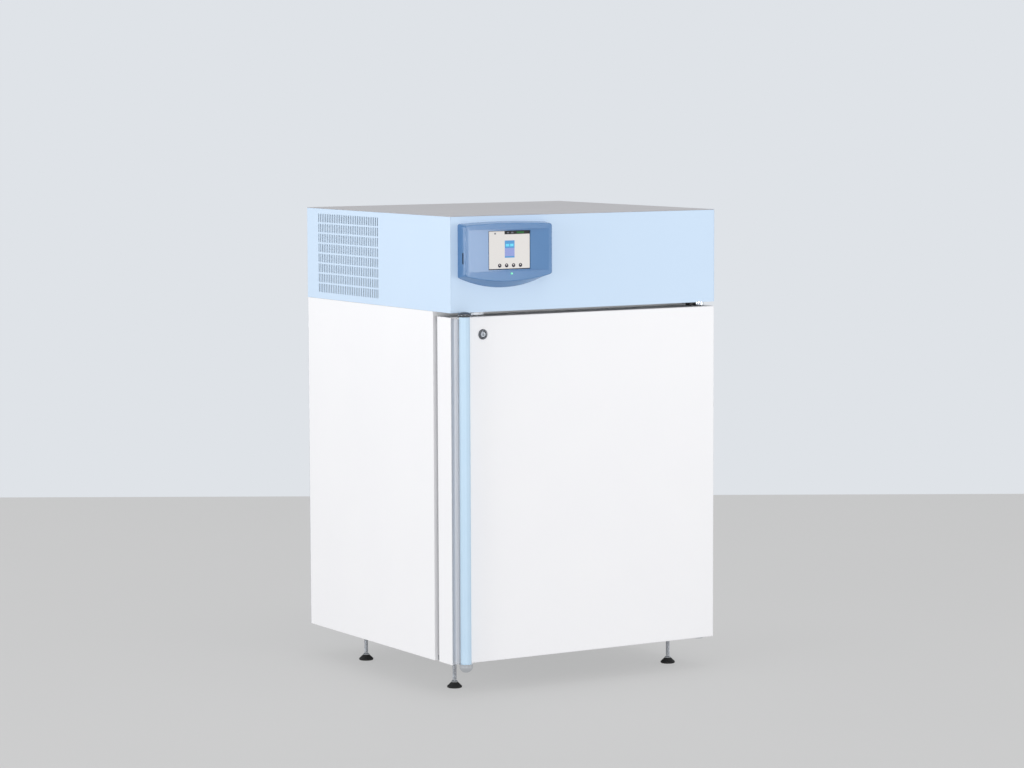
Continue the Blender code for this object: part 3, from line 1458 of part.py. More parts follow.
def condenser_fan():
    """An axial fan: a hub with pitched blades, inside the shroud."""
    x, y, z = shroud_place()
    low = x + COOLING_FAN_GAP
    high = low + COOLING_FAN_DEPTH
    bore = SHAFT_RADIUS + BORE_CLEARANCE
    profile = [(bore, low), (COOLING_FAN_HUB, low), (COOLING_FAN_HUB, high), (bore, high)]
    wheel = turned("condenser_fan", profile, (y, z), "X", BLACK_PLASTIC, ROUND_STEPS, hollow=True)
    blades = bmesh.new()
    for step in range(COOLING_FAN_BLADES):
        angle = 2 * math.pi * step / COOLING_FAN_BLADES
        add_blade(blades, angle, low + FAN_BLADE, high - FAN_BLADE, (y, z))
    return combine(wheel, finish("fan_blades", outward(blades), BLACK_PLASTIC), "UNION")


def add_blade(bm, angle, low, high, centre):
    """A blade that goes round and forward at once. Its root sits inside the hub."""
    stations = 4
    root = COOLING_FAN_HUB - 2 * FAN_BLADE
    thickness = FAN_BLADE
    rings = []
    for i in range(stations + 1):
        share = i / stations
        turn = angle + math.radians(FAN_BLADE_SWEEP) * share
        along = low + (high - low - thickness) * share
        ring = []
        for radius, offset in ((root, 0), (COOLING_FAN_RADIUS, 0), (COOLING_FAN_RADIUS, thickness),
                               (root, thickness)):
            u = centre[0] + radius * math.cos(turn)
            v = centre[1] + radius * math.sin(turn)
            ring.append(bm.verts.new((along + offset, u, v)))
        rings.append(ring)
    for first, second in zip(rings, rings[1:]):
        join_rings(bm, first, second)
    bm.faces.new(rings[0])
    bm.faces.new(rings[-1])


def compressor():
    """A welded steel can with a domed top, on a foot plate."""
    centre = (LEFT + COMPRESSOR_FROM_SIDE, BACK - COMPRESSOR_FROM_BACK)
    low = HEAD_FLOOR + COMPRESSOR_PLATE / 2
    high = HEAD_FLOOR + COMPRESSOR_HEIGHT
    seam = low + (high - low) * 0.52
    radius = COMPRESSOR_RADIUS
    wall = radius * 0.94
    rise = radius * 0.19
    weld = COMPRESSOR_WELD
    profile = [(radius * 0.70, low), (wall, low + rise), (wall, seam - weld * 1.3), (radius, seam - weld)]
    profile += [(radius, seam + weld), (wall, seam + weld * 1.3), (wall, high - rise * 2.4)]
    profile += [(radius * 0.80, high - rise), (radius * 0.45, high)]
    can = turned("compressor", profile, centre, "Z", BLACK_ENAMEL, ROUND_STEPS)
    reach = radius * 1.05
    plate = boxes("compressor_plate", [(
        (centre[0] - reach, centre[1] - radius * 0.75, HEAD_FLOOR),
        (centre[0] + reach, centre[1] + radius * 0.75, HEAD_FLOOR + COMPRESSOR_PLATE),
    )], BLACK_ENAMEL)
    return combine(can, plate, "UNION")


def control_box():
    """The housing of the power and control boards, with a lid and cable glands."""
    x1 = RIGHT - CONTROL_BOX_FROM_SIDE
    x0 = x1 - CONTROL_BOX_WIDTH
    y0 = FRONT + CONTROL_BOX_FROM_FRONT
    y1 = y0 + CONTROL_BOX_DEPTH
    body_top = HEAD_FLOOR + CONTROL_BOX_HEIGHT
    body = box("control_box", (x0, y0, HEAD_FLOOR), (x1, y1, body_top), ZINC)
    wall = CONTROL_BOX_WALL
    lid = box(
        "control_box_lid", (x0 - wall, y0 - wall, body_top - CONTROL_BOX_LID),
        (x1 + wall, y1 + wall, body_top + wall), ZINC)
    combine(body, lid, "UNION")
    glands = bmesh.new()
    for number in range(3):
        x = x0 + CONTROL_BOX_WIDTH * (number + 1) / 4
        outline = arc(x, HEAD_FLOOR + CONTROL_BOX_HEIGHT * 0.4, GLAND_RADIUS, 0, 360, 6)[:-1]
        add_prism(glands, outline, y1 - wall, y1 + GLAND_LENGTH, "Y")
    return combine(body, finish("glands", outward(glands), ZINC), "UNION")


# Mains inlet and switch
def inlet_place():
    return RIGHT - INLET_FROM_SIDE, TOP - INLET_FROM_TOP


def mains_inlet():
    """An appliance inlet with its blades, and above it the frame of the rocker switch."""
    x, z = inlet_place()
    half = INLET_FLANGE_WIDTH / 2
    tall = INLET_FLANGE_HEIGHT / 2
    face = BACK + INLET_FLANGE
    flange = box("mains_inlet", (x - half, BACK + FIT, z - tall), (x + half, face, z + tall), BLACK_PLASTIC)
    body = box(
        "inlet_body",
        (x - INLET_BODY_WIDTH / 2, BACK - INLET_BODY_DEPTH, z - INLET_BODY_HEIGHT / 2),
        (x + INLET_BODY_WIDTH / 2, face - INLET_FLANGE / 3, z + INLET_BODY_HEIGHT / 2),
        BLACK_PLASTIC,
    )
    combine(flange, body, "UNION")
    socket = z + SOCKET_CENTRE
    rocker = z + ROCKER_CENTRE
    side = ROCKER_WIDTH / 2 + FIT
    rise = ROCKER_HEIGHT / 2 + ROCKER_PLAY
    open_end = face + SHEET
    combine(flange, boxes("inlet_rooms", [
        ((x - SOCKET_WIDTH / 2, face - SOCKET_DEPTH, socket - SOCKET_HEIGHT / 2),
         (x + SOCKET_WIDTH / 2, open_end, socket + SOCKET_HEIGHT / 2)),
        ((x - side, face - ROCKER_ROOM, rocker - rise), (x + side, open_end, rocker + rise)),
    ], BLACK_PLASTIC))
    blades = []
    root = face - SOCKET_DEPTH
    for u, v in ((-BLADE_SPACING, -BLADE_OFFSET), (0.0, BLADE_OFFSET), (BLADE_SPACING, -BLADE_OFFSET)):
        low = (x + u - BLADE_WIDTH / 2, root - SHEET, socket + v - BLADE_HEIGHT / 2)
        high = (x + u + BLADE_WIDTH / 2, root + BLADE_LENGTH, socket + v + BLADE_HEIGHT / 2)
        blades.append((low, high))
    return combine(flange, boxes("inlet_blades", blades, CHROME), "UNION")


def rocker_axis():
    x, z = inlet_place()
    return x, BACK + INLET_FLANGE - ROCKER_AXIS_DEPTH, z + ROCKER_CENTRE


def mains_rocker():
    """A rocker that tilts about a cross axis. At rest its lower edge stands out of the frame."""
    x, y, z = rocker_axis()
    tilt = math.radians(ROCKER_TILT)
    edge = ROCKER_HEIGHT / 2 - 2 * ROCKER_PLAY
    reach = ROCKER_AXIS_DEPTH + ROCKER_PROUD
    crown = (reach - edge * math.sin(tilt)) / math.cos(tilt)
    root = -ROCKER_AXIS_DEPTH * 0.9
    flat = [
        (root, -edge * 0.6), (crown, -edge), (crown - ROCKER_HOLLOW, 0.0), (crown, edge), (root, edge * 0.6),
    ]
    outline = []
    for u, v in flat:
        outline.append((
            y + u * math.cos(tilt) - v * math.sin(tilt),
            z + u * math.sin(tilt) + v * math.cos(tilt),
        ))
    return prism(
        "mains_rocker", outline, x - ROCKER_WIDTH / 2, x + ROCKER_WIDTH / 2, "X", BLACK_PLASTIC)


# Levelling feet
def foot_places():
    x = WIDTH / 2 - FOOT_FROM_SIDE
    front = FRONT + FRONT_FOOT_FROM_FRONT
    rear = BACK - REAR_FOOT_FROM_BACK
    return [(-x, front), (x, front), (-x, rear), (x, rear)]


def foot_pad(name, place):
    profile = [
        (PAD_RADIUS - PAD_CHAMFER, 0.0), (PAD_RADIUS, PAD_CHAMFER), (PAD_RADIUS, PAD_EDGE),
        (COLLAR_RADIUS, PAD_HEIGHT),
    ]
    return turned(name, profile, place, "Z", PAD_RUBBER, SMALL_STEPS)


def foot_stud(name, place):
    """The threaded stud with its cone collar on the pad. Its upper end runs in the nut."""
    bottom = PAD_HEIGHT + FIT
    profile = [
        (COLLAR_RADIUS - FIT, bottom), (STUD_RADIUS, bottom + COLLAR_HEIGHT),
        (STUD_RADIUS, BASE + STUD_INSIDE),
    ]
    return turned(name, profile, place, "Z", CHROME, SMALL_STEPS)


def build():
    for name, side in (("side_panel_left", -1), ("side_panel_right", 1)):
        side_panel(name, side)
    rear_panel()
    base_pan()
    breaker_frame()
    cabinet_insulation()
    chamber_liner()

    air_baffle()
    circulation_motor()
    wheel = circulation_impeller()
    carried_by("circulation_axis", (0, CHAMBER_BACK, FAN_Z), [wheel])
    heater_element()
    evaporator()
    temperature_probe()
    for name, side in (("shelf_rail_left", -1), ("shelf_rail_right", 1)):
        shelf_rail(name, side)
    for name, rung in zip(("wire_shelf_lower", "wire_shelf_upper"), SHELF_RUNGS):
        wire_shelf(name, rung)

    door = [door_shell(), door_insulation(), door_inner_panel(), door_gasket(), handle_channel()]
    door.append(handle_bar())
    door.append(handle_cap("handle_cap_upper", DOOR_TOP, 1))
    door.append(handle_cap("handle_cap_lower", DOOR_BOTTOM, -1))
    door += [lock_housing(), hinge_bush_upper(), hinge_bush_lower()]
    carried_by("door_axis", (HINGE_X, HINGE_Y, DOOR_BOTTOM), door)
    carried_by("lock_axis", (LOCK_X, FRONT, LOCK_Z), [lock_cylinder(), lock_cam()])
    hinge_bracket_upper()
    hinge_bracket_lower()
    door_stop_block()
    lock_strike()

    head_floor()
    head_front()
    head_side_left()
    head_side_right()
    head_rear()
    head_top()
    control_bezel()
    touch_screen()
    status_lamp()
    card_slot()

    compressor()
    condenser()
    condenser_fan_shroud()
    x, y, z = shroud_place()
    carried_by("condenser_fan_axis", (x, y, z), [condenser_fan()])
    control_box()
    mains_inlet()
    carried_by("rocker_axis", rocker_axis(), [mains_rocker()])

    corners = ("front_left", "front_right", "rear_left", "rear_right")
    for corner, place in zip(corners, foot_places()):
        pieces = [foot_pad(f"foot_pad_{corner}", place), foot_stud(f"foot_stud_{corner}", place)]
        carried_by(f"foot_axis_{corner}", (place[0], place[1], 0), pieces)


build()
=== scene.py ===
# %% [markdown]
# # Refrigerated incubator, dressed in Blender
#
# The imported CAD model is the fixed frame. It gives every solid its place and every joint its axis. This
# file adds what the CAD leaves out: slots with round ends, smooth turned pieces, threads, thin wires and
# finishes. Each step says what the piece is on the real cabinet, how it could be made, and why one way was
# chosen.

import json
import math
from contextlib import contextmanager

import bmesh
import bpy
from mathutils import Matrix, Vector


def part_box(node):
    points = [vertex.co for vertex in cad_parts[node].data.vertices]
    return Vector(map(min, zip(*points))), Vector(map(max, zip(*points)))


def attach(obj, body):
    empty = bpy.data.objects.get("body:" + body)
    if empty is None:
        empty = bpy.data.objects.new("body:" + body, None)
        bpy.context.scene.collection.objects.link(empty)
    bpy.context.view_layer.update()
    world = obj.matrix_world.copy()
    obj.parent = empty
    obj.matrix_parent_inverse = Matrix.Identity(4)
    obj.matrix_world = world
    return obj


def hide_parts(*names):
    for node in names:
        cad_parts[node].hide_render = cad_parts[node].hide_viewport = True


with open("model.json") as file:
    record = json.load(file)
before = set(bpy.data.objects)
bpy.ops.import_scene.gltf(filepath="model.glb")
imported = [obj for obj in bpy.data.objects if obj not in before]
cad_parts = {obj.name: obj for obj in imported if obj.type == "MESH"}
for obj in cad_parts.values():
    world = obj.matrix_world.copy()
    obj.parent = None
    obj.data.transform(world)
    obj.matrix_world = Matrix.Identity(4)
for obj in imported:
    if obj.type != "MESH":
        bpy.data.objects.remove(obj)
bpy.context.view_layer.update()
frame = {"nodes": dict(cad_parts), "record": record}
nodes = frame["nodes"]
MM = 0.001

# %% [markdown]
# ## The places that the pieces share
# A CAD node's mesh already lies where it belongs, so its box gives the planes that new pieces sit on.
# Reading them here keeps every piece tied to the frame, so that nothing has to be fitted by eye.


# %% Planes of the cabinet, door and head
def middle_of(node):
    low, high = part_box(node)
    return (low + high) / 2


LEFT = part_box("side_panel_left")[0].x
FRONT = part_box("head_panel_front")[0].y
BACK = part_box("rear_panel")[1].y
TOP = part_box("head_panel_top")[1].z
DOOR_LOW, DOOR_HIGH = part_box("door_shell")
BEZEL_LOW, BEZEL_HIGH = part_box("control_bezel")
SHEET = 1.2 * MM
print("front", round(FRONT, 4), "back", round(BACK, 4), "top", round(TOP, 4))

# %% [markdown]
# ## Camera
# The photograph was taken from the front left with a long lens, a little above the cabinet. Its place was
# solved from the corners of the cabinet, so the camera is set by its axes instead of by eye. The lens
# follows from the focal length in pixels and the 36 mm sensor.

# %% Camera at the photograph's viewing angle
YAW, PITCH, ROLL = (math.radians(v) for v in (31.260, -5.295, -0.205))
CAMERA_PLACE = Vector((-4.168, -6.867, 1.452))
FOCAL_PIXELS = 3186.8
PICTURE_WIDTH = 1024
SENSOR = 36.0


def camera_axes():
    """The camera's directions to the right, up and back, in the cabinet's frame."""
    ahead = Vector((math.sin(YAW) * math.cos(PITCH), math.cos(YAW) * math.cos(PITCH), math.sin(PITCH)))
    right = Vector((math.cos(YAW), -math.sin(YAW), 0))
    up = right.cross(ahead)
    right_rolled = math.cos(ROLL) * right + math.sin(ROLL) * up
    up_rolled = -math.sin(ROLL) * right + math.cos(ROLL) * up
    return right_rolled, up_rolled, -ahead


bpy.ops.object.camera_add()
camera = bpy.context.object
camera.name = "photo_camera"
turn = Matrix(camera_axes()).transposed().to_4x4()
camera.matrix_world = Matrix.Translation(CAMERA_PLACE) @ turn
camera.data.sensor_width = SENSOR
camera.data.lens = FOCAL_PIXELS / PICTURE_WIDTH * SENSOR
camera.data.clip_end = 100
bpy.context.scene.camera = camera
print("lens in mm", round(camera.data.lens, 2))

# %% [markdown]
# ## Small tools for modelling
# Blender's own tools work on what is selected, so each one here first lets go of everything else. Edges are
# then picked in code, by their place or by how far they bend, as a hand would pick them with the mouse.


# %% Selecting, editing and finishing
def deselect():
    if bpy.context.mode != "OBJECT":
        bpy.ops.object.mode_set(mode="OBJECT")
    bpy.ops.object.select_all(action="DESELECT")


def work_on(piece):
    deselect()
    piece.select_set(True)
    bpy.context.view_layer.objects.active = piece


@contextmanager
def editing(piece, action="DESELECT"):
    """Edit mode on the piece, with nothing selected at first, or everything with SELECT."""
    work_on(piece)
    bpy.ops.object.mode_set(mode="EDIT")
    bpy.ops.mesh.select_all(action=action)
    yield
    bpy.ops.object.mode_set(mode="OBJECT")


def pick_edges(piece, test):
    """Selects the edges for which test is true, in edit mode, and counts them."""
    bpy.ops.mesh.select_mode(type="EDGE")
    bpy.ops.mesh.select_all(action="DESELECT")
    mesh = bmesh.from_edit_mesh(piece.data)
    chosen = [edge for edge in mesh.edges if test(edge)]
    for edge in chosen:
        edge.select_set(True)
    bmesh.update_edit_mesh(piece.data)
    return len(chosen)


def shape_picked(piece, rule):
    """Moves each selected corner to the place that rule gives for it."""
    mesh = bmesh.from_edit_mesh(piece.data)
    for vert in mesh.verts:
        if vert.select:
            vert.co = Vector(rule(vert.co))
    bmesh.update_edit_mesh(piece.data)


def push(x=0.0, y=0.0, z=0.0):
    bpy.ops.mesh.extrude_region_move(TRANSFORM_OT_translate={"value": (x, y, z)})


def apply_modifier(piece, kind, **settings):
    work_on(piece)
    modifier = piece.modifiers.new(kind.lower(), kind)
    for key, value in settings.items():
        setattr(modifier, key, value)
    bpy.ops.object.modifier_apply(modifier=modifier.name)


def soften(piece, width_mm, segments=2, angle=40):
    """Rounds the edges that bend more than angle."""
    apply_modifier(piece, "BEVEL", width=width_mm * MM, segments=segments, limit_method="ANGLE",
                   angle_limit=math.radians(angle))


def shade(piece, angle=35):
    work_on(piece)
    bpy.ops.object.shade_smooth_by_angle(angle=math.radians(angle))


def seat(piece):
    """Puts the piece's place into its mesh, so that the object itself sits at the origin."""
    work_on(piece)
    bpy.ops.object.transform_apply(location=True, rotation=True, scale=True)


def close_up(piece, distance=1e-6):
    """Merges doubled corners and turns every face outwards."""
    with editing(piece, "SELECT"):
        bpy.ops.mesh.remove_doubles(threshold=distance)
        bpy.ops.mesh.normals_make_consistent(inside=False)


def new_object(name, add, **settings):
    """A new object from the operator add, with nothing else selected."""
    deselect()
    add(**settings)
    piece = bpy.context.object
    piece.name = name
    return piece


def block(name, low, high):
    """A cube primitive at its size and place, as a start."""
    low, high = Vector(low), Vector(high)
    piece = new_object(name, bpy.ops.mesh.primitive_cube_add, size=1, location=(low + high) / 2)
    piece.scale = high - low
    seat(piece)
    return piece


def plate(name, points):
    """A flat face through the points, from a circle primitive with as many corners."""
    piece = new_object(name, bpy.ops.mesh.primitive_circle_add, vertices=len(points), fill_type="NGON")
    for vert, point in zip(piece.data.vertices, points):
        vert.co = point
    return piece


def cut(piece, tool):
    """Takes the tool's shape out of the piece."""
    apply_modifier(piece, "BOOLEAN", operation="DIFFERENCE", solver="EXACT", object=tool)
    bpy.data.objects.remove(tool)


def join(pieces):
    deselect()
    for piece in pieces:
        piece.select_set(True)
    bpy.context.view_layer.objects.active = pieces[0]
    bpy.ops.object.join()
    return pieces[0]


def copies(piece, moves):
    """Copies of a piece, each with its own mesh, joined with it into one object."""
    made = [piece]
    for move in moves:
        work_on(piece)
        bpy.ops.object.duplicate(linked=False)
        twin = bpy.context.object
        twin.location = Vector(move)
        seat(twin)
        made.append(twin)
    return join(made)


# %% [markdown]
# A turned piece such as a cap, a stud or a lock face is drawn as half of its outline and spun once round
# its axis. Spinning gives clean rings that shade smoothly, which a boolean of cylinders doesn't.


# %% A lathe
TURN_TO = {"Y": Matrix.Rotation(-math.pi / 2, 4, "X"), "Z": Matrix()}


def lathe(name, profile, centre, axis="Z", steps=48):
    """Spins an outline of (radius, height) points, in millimetres, about the axis through centre."""
    piece = new_object(name, bpy.ops.mesh.primitive_plane_add, size=MM)
    points = [Vector((radius * MM, 0, height * MM)) for radius, height in profile]
    with editing(piece):
        bpy.ops.mesh.select_mode(type="VERT")
        bpy.ops.mesh.select_all(action="SELECT")
        bpy.ops.mesh.merge(type="CENTER")
        shape_picked(piece, lambda place: points[0])
        for before, after in zip(points, points[1:]):
            push(*(after - before))
        bpy.ops.mesh.select_all(action="SELECT")
        bpy.ops.mesh.spin(steps=steps, angle=2 * math.pi, center=(0, 0, 0), axis=(0, 0, 1))
    close_up(piece)
    piece.matrix_world = Matrix.Translation(Vector(centre)) @ TURN_TO[axis]
    seat(piece)
    close_up(piece)
    shade(piece)
    return piece


# %% [markdown]
# Some CAD solids have the right shape but hard, faceted edges. A copy of such a node is merged into whole
# faces and its folds are rounded as sheet metal is. The CAD mesh itself stays as it is.


# %% A refined copy of a CAD node
def refined(name, node, radius_mm=0.0, segments=2, angle=40):
    deselect()
    piece = bpy.data.objects.new(name, nodes[node].data.copy())
    bpy.context.scene.collection.objects.link(piece)
    with editing(piece, "SELECT"):
        bpy.ops.mesh.remove_doubles(threshold=1e-6)
        bpy.ops.mesh.dissolve_limited(angle_limit=math.radians(0.5), use_dissolve_boundaries=False)
    if radius_mm:
        soften(piece, radius_mm, segments, angle)
    shade(piece, 50)
    apply_modifier(piece, "WEIGHTED_NORMAL", keep_sharp=True)
    return piece


def dress(piece, body, finish, slot, *replaced):
    """Gives a finished piece its material and the body it moves with, and hides the CAD nodes it stands for.
    """
    piece.data.materials.clear()
    piece.data.materials.append(finish)
    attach(piece, body)
    if replaced:
        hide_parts(*replaced)
    print(piece.name, len(piece.data.polygons), "faces")


# %% [markdown]
# ## Materials
# Every finish starts from what the real surface is. Colours are written as sRGB hex values and turned to
# linear once. Patterns read Object coordinates in metres, so a scale is one over the real size of the
# pattern.


# %% Material tools
def linear(hex_colour):
    values = [int(hex_colour[i:i + 2], 16) / 255 for i in (1, 3, 5)]
    return tuple(v / 12.92 if v <= 0.04045 else ((v + 0.055) / 1.055) ** 2.4 for v in values) + (1.0,)


def per_mm(size_mm):
    """The texture scale at which one pattern cell is size_mm wide."""
    return 1 / (size_mm * MM)


def add_node(tree, kind, inputs=None, **settings):
    """Adds one node. Settings are its own, and inputs are values or the outputs that feed its sockets."""
    node = tree.nodes.new(kind)
    for key, value in settings.items():
        setattr(node, key, value)
    for socket, value in (inputs or {}).items():
        if isinstance(value, bpy.types.NodeSocket):
            tree.links.new(value, node.inputs[socket])
        else:
            node.inputs[socket].default_value = value
    return node


def begin(name, **sockets):
    """A new material with its constants on the shader's own sockets."""
    material = bpy.data.materials.new(name)
    material.use_nodes = True
    tree = material.node_tree
    shader = tree.nodes["Principled BSDF"]
    for socket, value in sockets.items():
        shader.inputs[socket.replace("_", " ")].default_value = value
    place = add_node(tree, "ShaderNodeTexCoord").outputs["Object"]
    return material, tree, shader, place


def vary(tree, shader, fac, socket, low, high):
    """Lets a pattern move one of the shader's numbers between two values."""
    spread = add_node(tree, "ShaderNodeMapRange", {"Value": fac, "To Min": low, "To Max": high})
    tree.links.new(spread.outputs["Result"], shader.inputs[socket])


def tint(tree, shader, fac, first, second):
    """Lets a pattern move the colour between two hex colours."""
    mix = add_node(tree, "ShaderNodeMix", {0: fac, 6: linear(first), 7: linear(second)}, data_type="RGBA")
    tree.links.new(mix.outputs[2], shader.inputs["Base Color"])


def drifting(name, first, second, size_mm, detail, rough, **sockets):
    """A new material whose colour and gloss drift with one noise pattern, and the pattern's output."""
    material, tree, shader, place = begin(name, **sockets)
    noise = add_node(tree, "ShaderNodeTexNoise", {
        "Vector": place, "Scale": per_mm(size_mm), "Detail": detail})
    tint(tree, shader, noise.outputs["Fac"], first, second)
    vary(tree, shader, noise.outputs["Fac"], "Roughness", *rough)
    return material, tree, shader, noise.outputs["Fac"]


def emboss(tree, shader, height, strength, depth_mm):
    """Lets a pattern raise the surface by up to depth_mm."""
    bump = add_node(tree, "ShaderNodeBump", {
        "Height": height, "Strength": strength, "Distance": depth_mm * MM})
    tree.links.new(bump.outputs["Normal"], shader.inputs["Normal"])


# %% [markdown]
# ### Powder-coated sheet steel
# The side panels, the door and the head are sheet steel with a baked powder coat. It gives a satin sheen
# with a faint orange peel, waves about a millimetre wide. They would vanish in the render, so they are
# drawn wider, and the tone drifts a little over a hand's width.


# %% Powder coats: white, pale blue and grey
def powder_coat(name, colour, drift, peel_mm, roughness):
    material, tree, shader, place = begin(name, IOR=1.5)
    clouds = add_node(tree, "ShaderNodeTexNoise", {"Vector": place, "Scale": per_mm(180), "Detail": 2.0})
    tint(tree, shader, clouds.outputs["Fac"], colour, drift)
    peel = add_node(tree, "ShaderNodeTexNoise", {"Vector": place, "Scale": per_mm(peel_mm), "Detail": 1.0})
    vary(tree, shader, peel.outputs["Fac"], "Roughness", roughness - 0.05, roughness + 0.05)
    emboss(tree, shader, peel.outputs["Fac"], 0.10, 0.15)
    return material


WHITE_COAT = powder_coat("powder_coat_white", "#EFEFF2", "#F2F2F4", 5.0, 0.36)
BLUE_COAT = powder_coat("powder_coat_pale_blue", "#C4DAF1", "#C8DDF3", 5.0, 0.40)
GREY_COAT = powder_coat("powder_coat_grey", "#B4B2B5", "#BAB8BA", 6.0, 0.45)

# %% [markdown]
# ### Bare metals
# Zinc-coated sheet shows spangle, crystals about a centimetre wide that differ in tone. Ground stainless
# has fine lines in one direction. Anodised aluminium keeps faint lines along its extrusion. Chrome is
# smooth, and only faint smears change its gloss. The lock's ring and the handle's upper cup are chrome
# too, but painted darker and as smooth as chrome: a painted reflection of the dark surroundings they mirror.


# %% Zinc, stainless, aluminium and chrome
def zinc_sheet():
    material, tree, shader, place = begin("zinc_coated_sheet", Metallic=1.0)
    spangle = add_node(tree, "ShaderNodeTexVoronoi", {"Vector": place, "Scale": per_mm(14)})
    tone = add_node(tree, "ShaderNodeSeparateColor", {"Color": spangle.outputs["Color"]})
    tint(tree, shader, tone.outputs["Red"], "#B9BDC2", "#CDD0D4")
    vary(tree, shader, tone.outputs["Green"], "Roughness", 0.34, 0.48)
    return material


def lined_metal(name, first, second, across_mm, along_mm, direction, rough, metallic=1.0):
    """A metal with fine lines along one axis, which are drawn wide enough to show."""
    material, tree, shader, place = begin(name, Metallic=metallic)
    scale = [per_mm(across_mm)] * 3
    scale["XYZ".index(direction)] = per_mm(along_mm)
    stretch = add_node(tree, "ShaderNodeMapping", {"Vector": place, "Scale": scale})
    lines = add_node(tree, "ShaderNodeTexNoise", {
        "Vector": stretch.outputs["Vector"], "Scale": 1.0, "Detail": 3.0})
    tint(tree, shader, lines.outputs["Fac"], first, second)
    vary(tree, shader, lines.outputs["Fac"], "Roughness", *rough)
    emboss(tree, shader, lines.outputs["Fac"], 0.15, 0.05)
    return material


def smooth_metal(name, first, second, rough):
    return drifting(name, first, second, 25, 3.0, rough, Metallic=1.0)[0]


ZINC = zinc_sheet()
STAINLESS = lined_metal("stainless_ground", "#B4B5B8", "#C6C7C9", 1.2, 60, "X", (0.26, 0.36))
STEEL_WIRE = smooth_metal("stainless_wire", "#BFC0C2", "#CBCCCE", (0.16, 0.24))
ALUMINIUM = lined_metal("aluminium_anodised", "#CDCFD5", "#D8DADE", 1.0, 150, "Z", (0.42, 0.50), 0.30)
FIN_METAL = lined_metal("aluminium_fin", "#C3C7CC", "#D0D3D7", 1.5, 30, "Z", (0.45, 0.55), 0.40)
CHROME = smooth_metal("chrome_plate", "#CDD1D6", "#D6D9DD", (0.05, 0.10))
STUD_METAL = smooth_metal("stud_zinc_plated", "#C4C6CA", "#D0D2D5", (0.14, 0.24))
# A darker copy of chrome: it paints in the dark reflection that the lock's ring and the handle's upper cup
# show.
CHROME_DARKENED_AS_REFLECTION = smooth_metal("chrome_painted_dark_reflection", "#56585C", "#6C6E72", (0.16, 0.26))

# %% [markdown]
# ### Lacquer and plastics
# The handle bar is aluminium tube under a satin pale blue lacquer that leaves a soft metal sheen. The hood
# round the screen is moulded and painted with a blue metallic lacquer, and a clear coat gives it its gloss.
# Other plastics have the fine spark texture of their mould.


# %% Lacquered bar, blue hood and plain plastics
def lacquer(name, first, second, metallic, roughness, coat):
    return drifting(name, first, second, 60, 2.0, (roughness - 0.03, roughness + 0.03), Metallic=metallic,
                    Coat_Weight=coat, Coat_Roughness=0.16, IOR=1.5)[0]


def moulded(name, first, second, grain_mm, roughness, depth_mm=0.05):
    rough = (roughness - 0.06, roughness + 0.06)
    material, tree, shader, grain = drifting(name, first, second, grain_mm, 2.0, rough, IOR=1.5)
    emboss(tree, shader, grain, 0.25, depth_mm)
    return material


BAR_LACQUER = lacquer("lacquer_pale_blue", "#B9D2E6", "#C2D9EB", 0.15, 0.50, 0.0)
HOOD_LACQUER = lacquer("lacquer_blue_metallic", "#4475A8", "#4B7CAF", 0.10, 0.45, 1.0)
GREY_PLASTIC = moulded("plastic_pale_grey", "#E6E7E9", "#ECEDEE", 1.5, 0.45)
BLACK_PLASTIC = moulded("plastic_black", "#1B1C1E", "#242527", 1.5, 0.48)
BOX_PLASTIC = moulded("plastic_light_grey", "#B9BBBC", "#C2C4C5", 1.5, 0.50)

# %% [markdown]
# ### Rubber, foam, enamel, glass and lamp
# The door seal is a soft grey extrusion and the pads are black rubber, both without gloss. The foam is a
# froth of fine cells. The compressor and the motor are black enamel. The screen is glass over a lit
# display.


# %% Soft and clear materials
def foam():
    material, tree, shader, place = begin("rigid_foam", Roughness=0.9)
    cells = add_node(tree, "ShaderNodeTexVoronoi", {"Vector": place, "Scale": per_mm(2)})
    tint(tree, shader, cells.outputs["Distance"], "#E8D8A8", "#D6C48E")
    emboss(tree, shader, cells.outputs["Distance"], 0.4, 0.3)
    return material


def lamp_lens():
    material, tree, shader, place = begin(
        "lamp_lens", Roughness=0.15, Emission_Color=linear("#7FE8C0"), Emission_Strength=0.35, IOR=1.49)
    facets = add_node(tree, "ShaderNodeTexVoronoi", {"Vector": place, "Scale": per_mm(1)})
    tint(tree, shader, facets.outputs["Distance"], "#8FE3C3", "#5FC7A2")
    return material


def cover_glass():
    material, tree, shader, place = begin("cover_glass_black", Roughness=0.06, IOR=1.52, Coat_Weight=0.3)
    haze = add_node(tree, "ShaderNodeTexNoise", {"Vector": place, "Scale": per_mm(12), "Detail": 2.0})
    tint(tree, shader, haze.outputs["Fac"], "#0C0D10", "#131418")
    return material


GASKET_RUBBER = moulded("seal_rubber_grey", "#B2B2B5", "#BDBDC0", 3.0, 0.70)
PAD_RUBBER = moulded("pad_rubber_black", "#0E0E0E", "#161616", 1.2, 0.72, 0.1)
BLACK_ENAMEL = powder_coat("enamel_black", "#17181A", "#1E1F21", 3.0, 0.32)
FOAM = foam()
LAMP_LENS = lamp_lens()
SCREEN_GLASS = cover_glass()

# %% [markdown]
# Every CAD node that stays visible gets one of these finishes, chosen by the material slot that the record
# gives it.

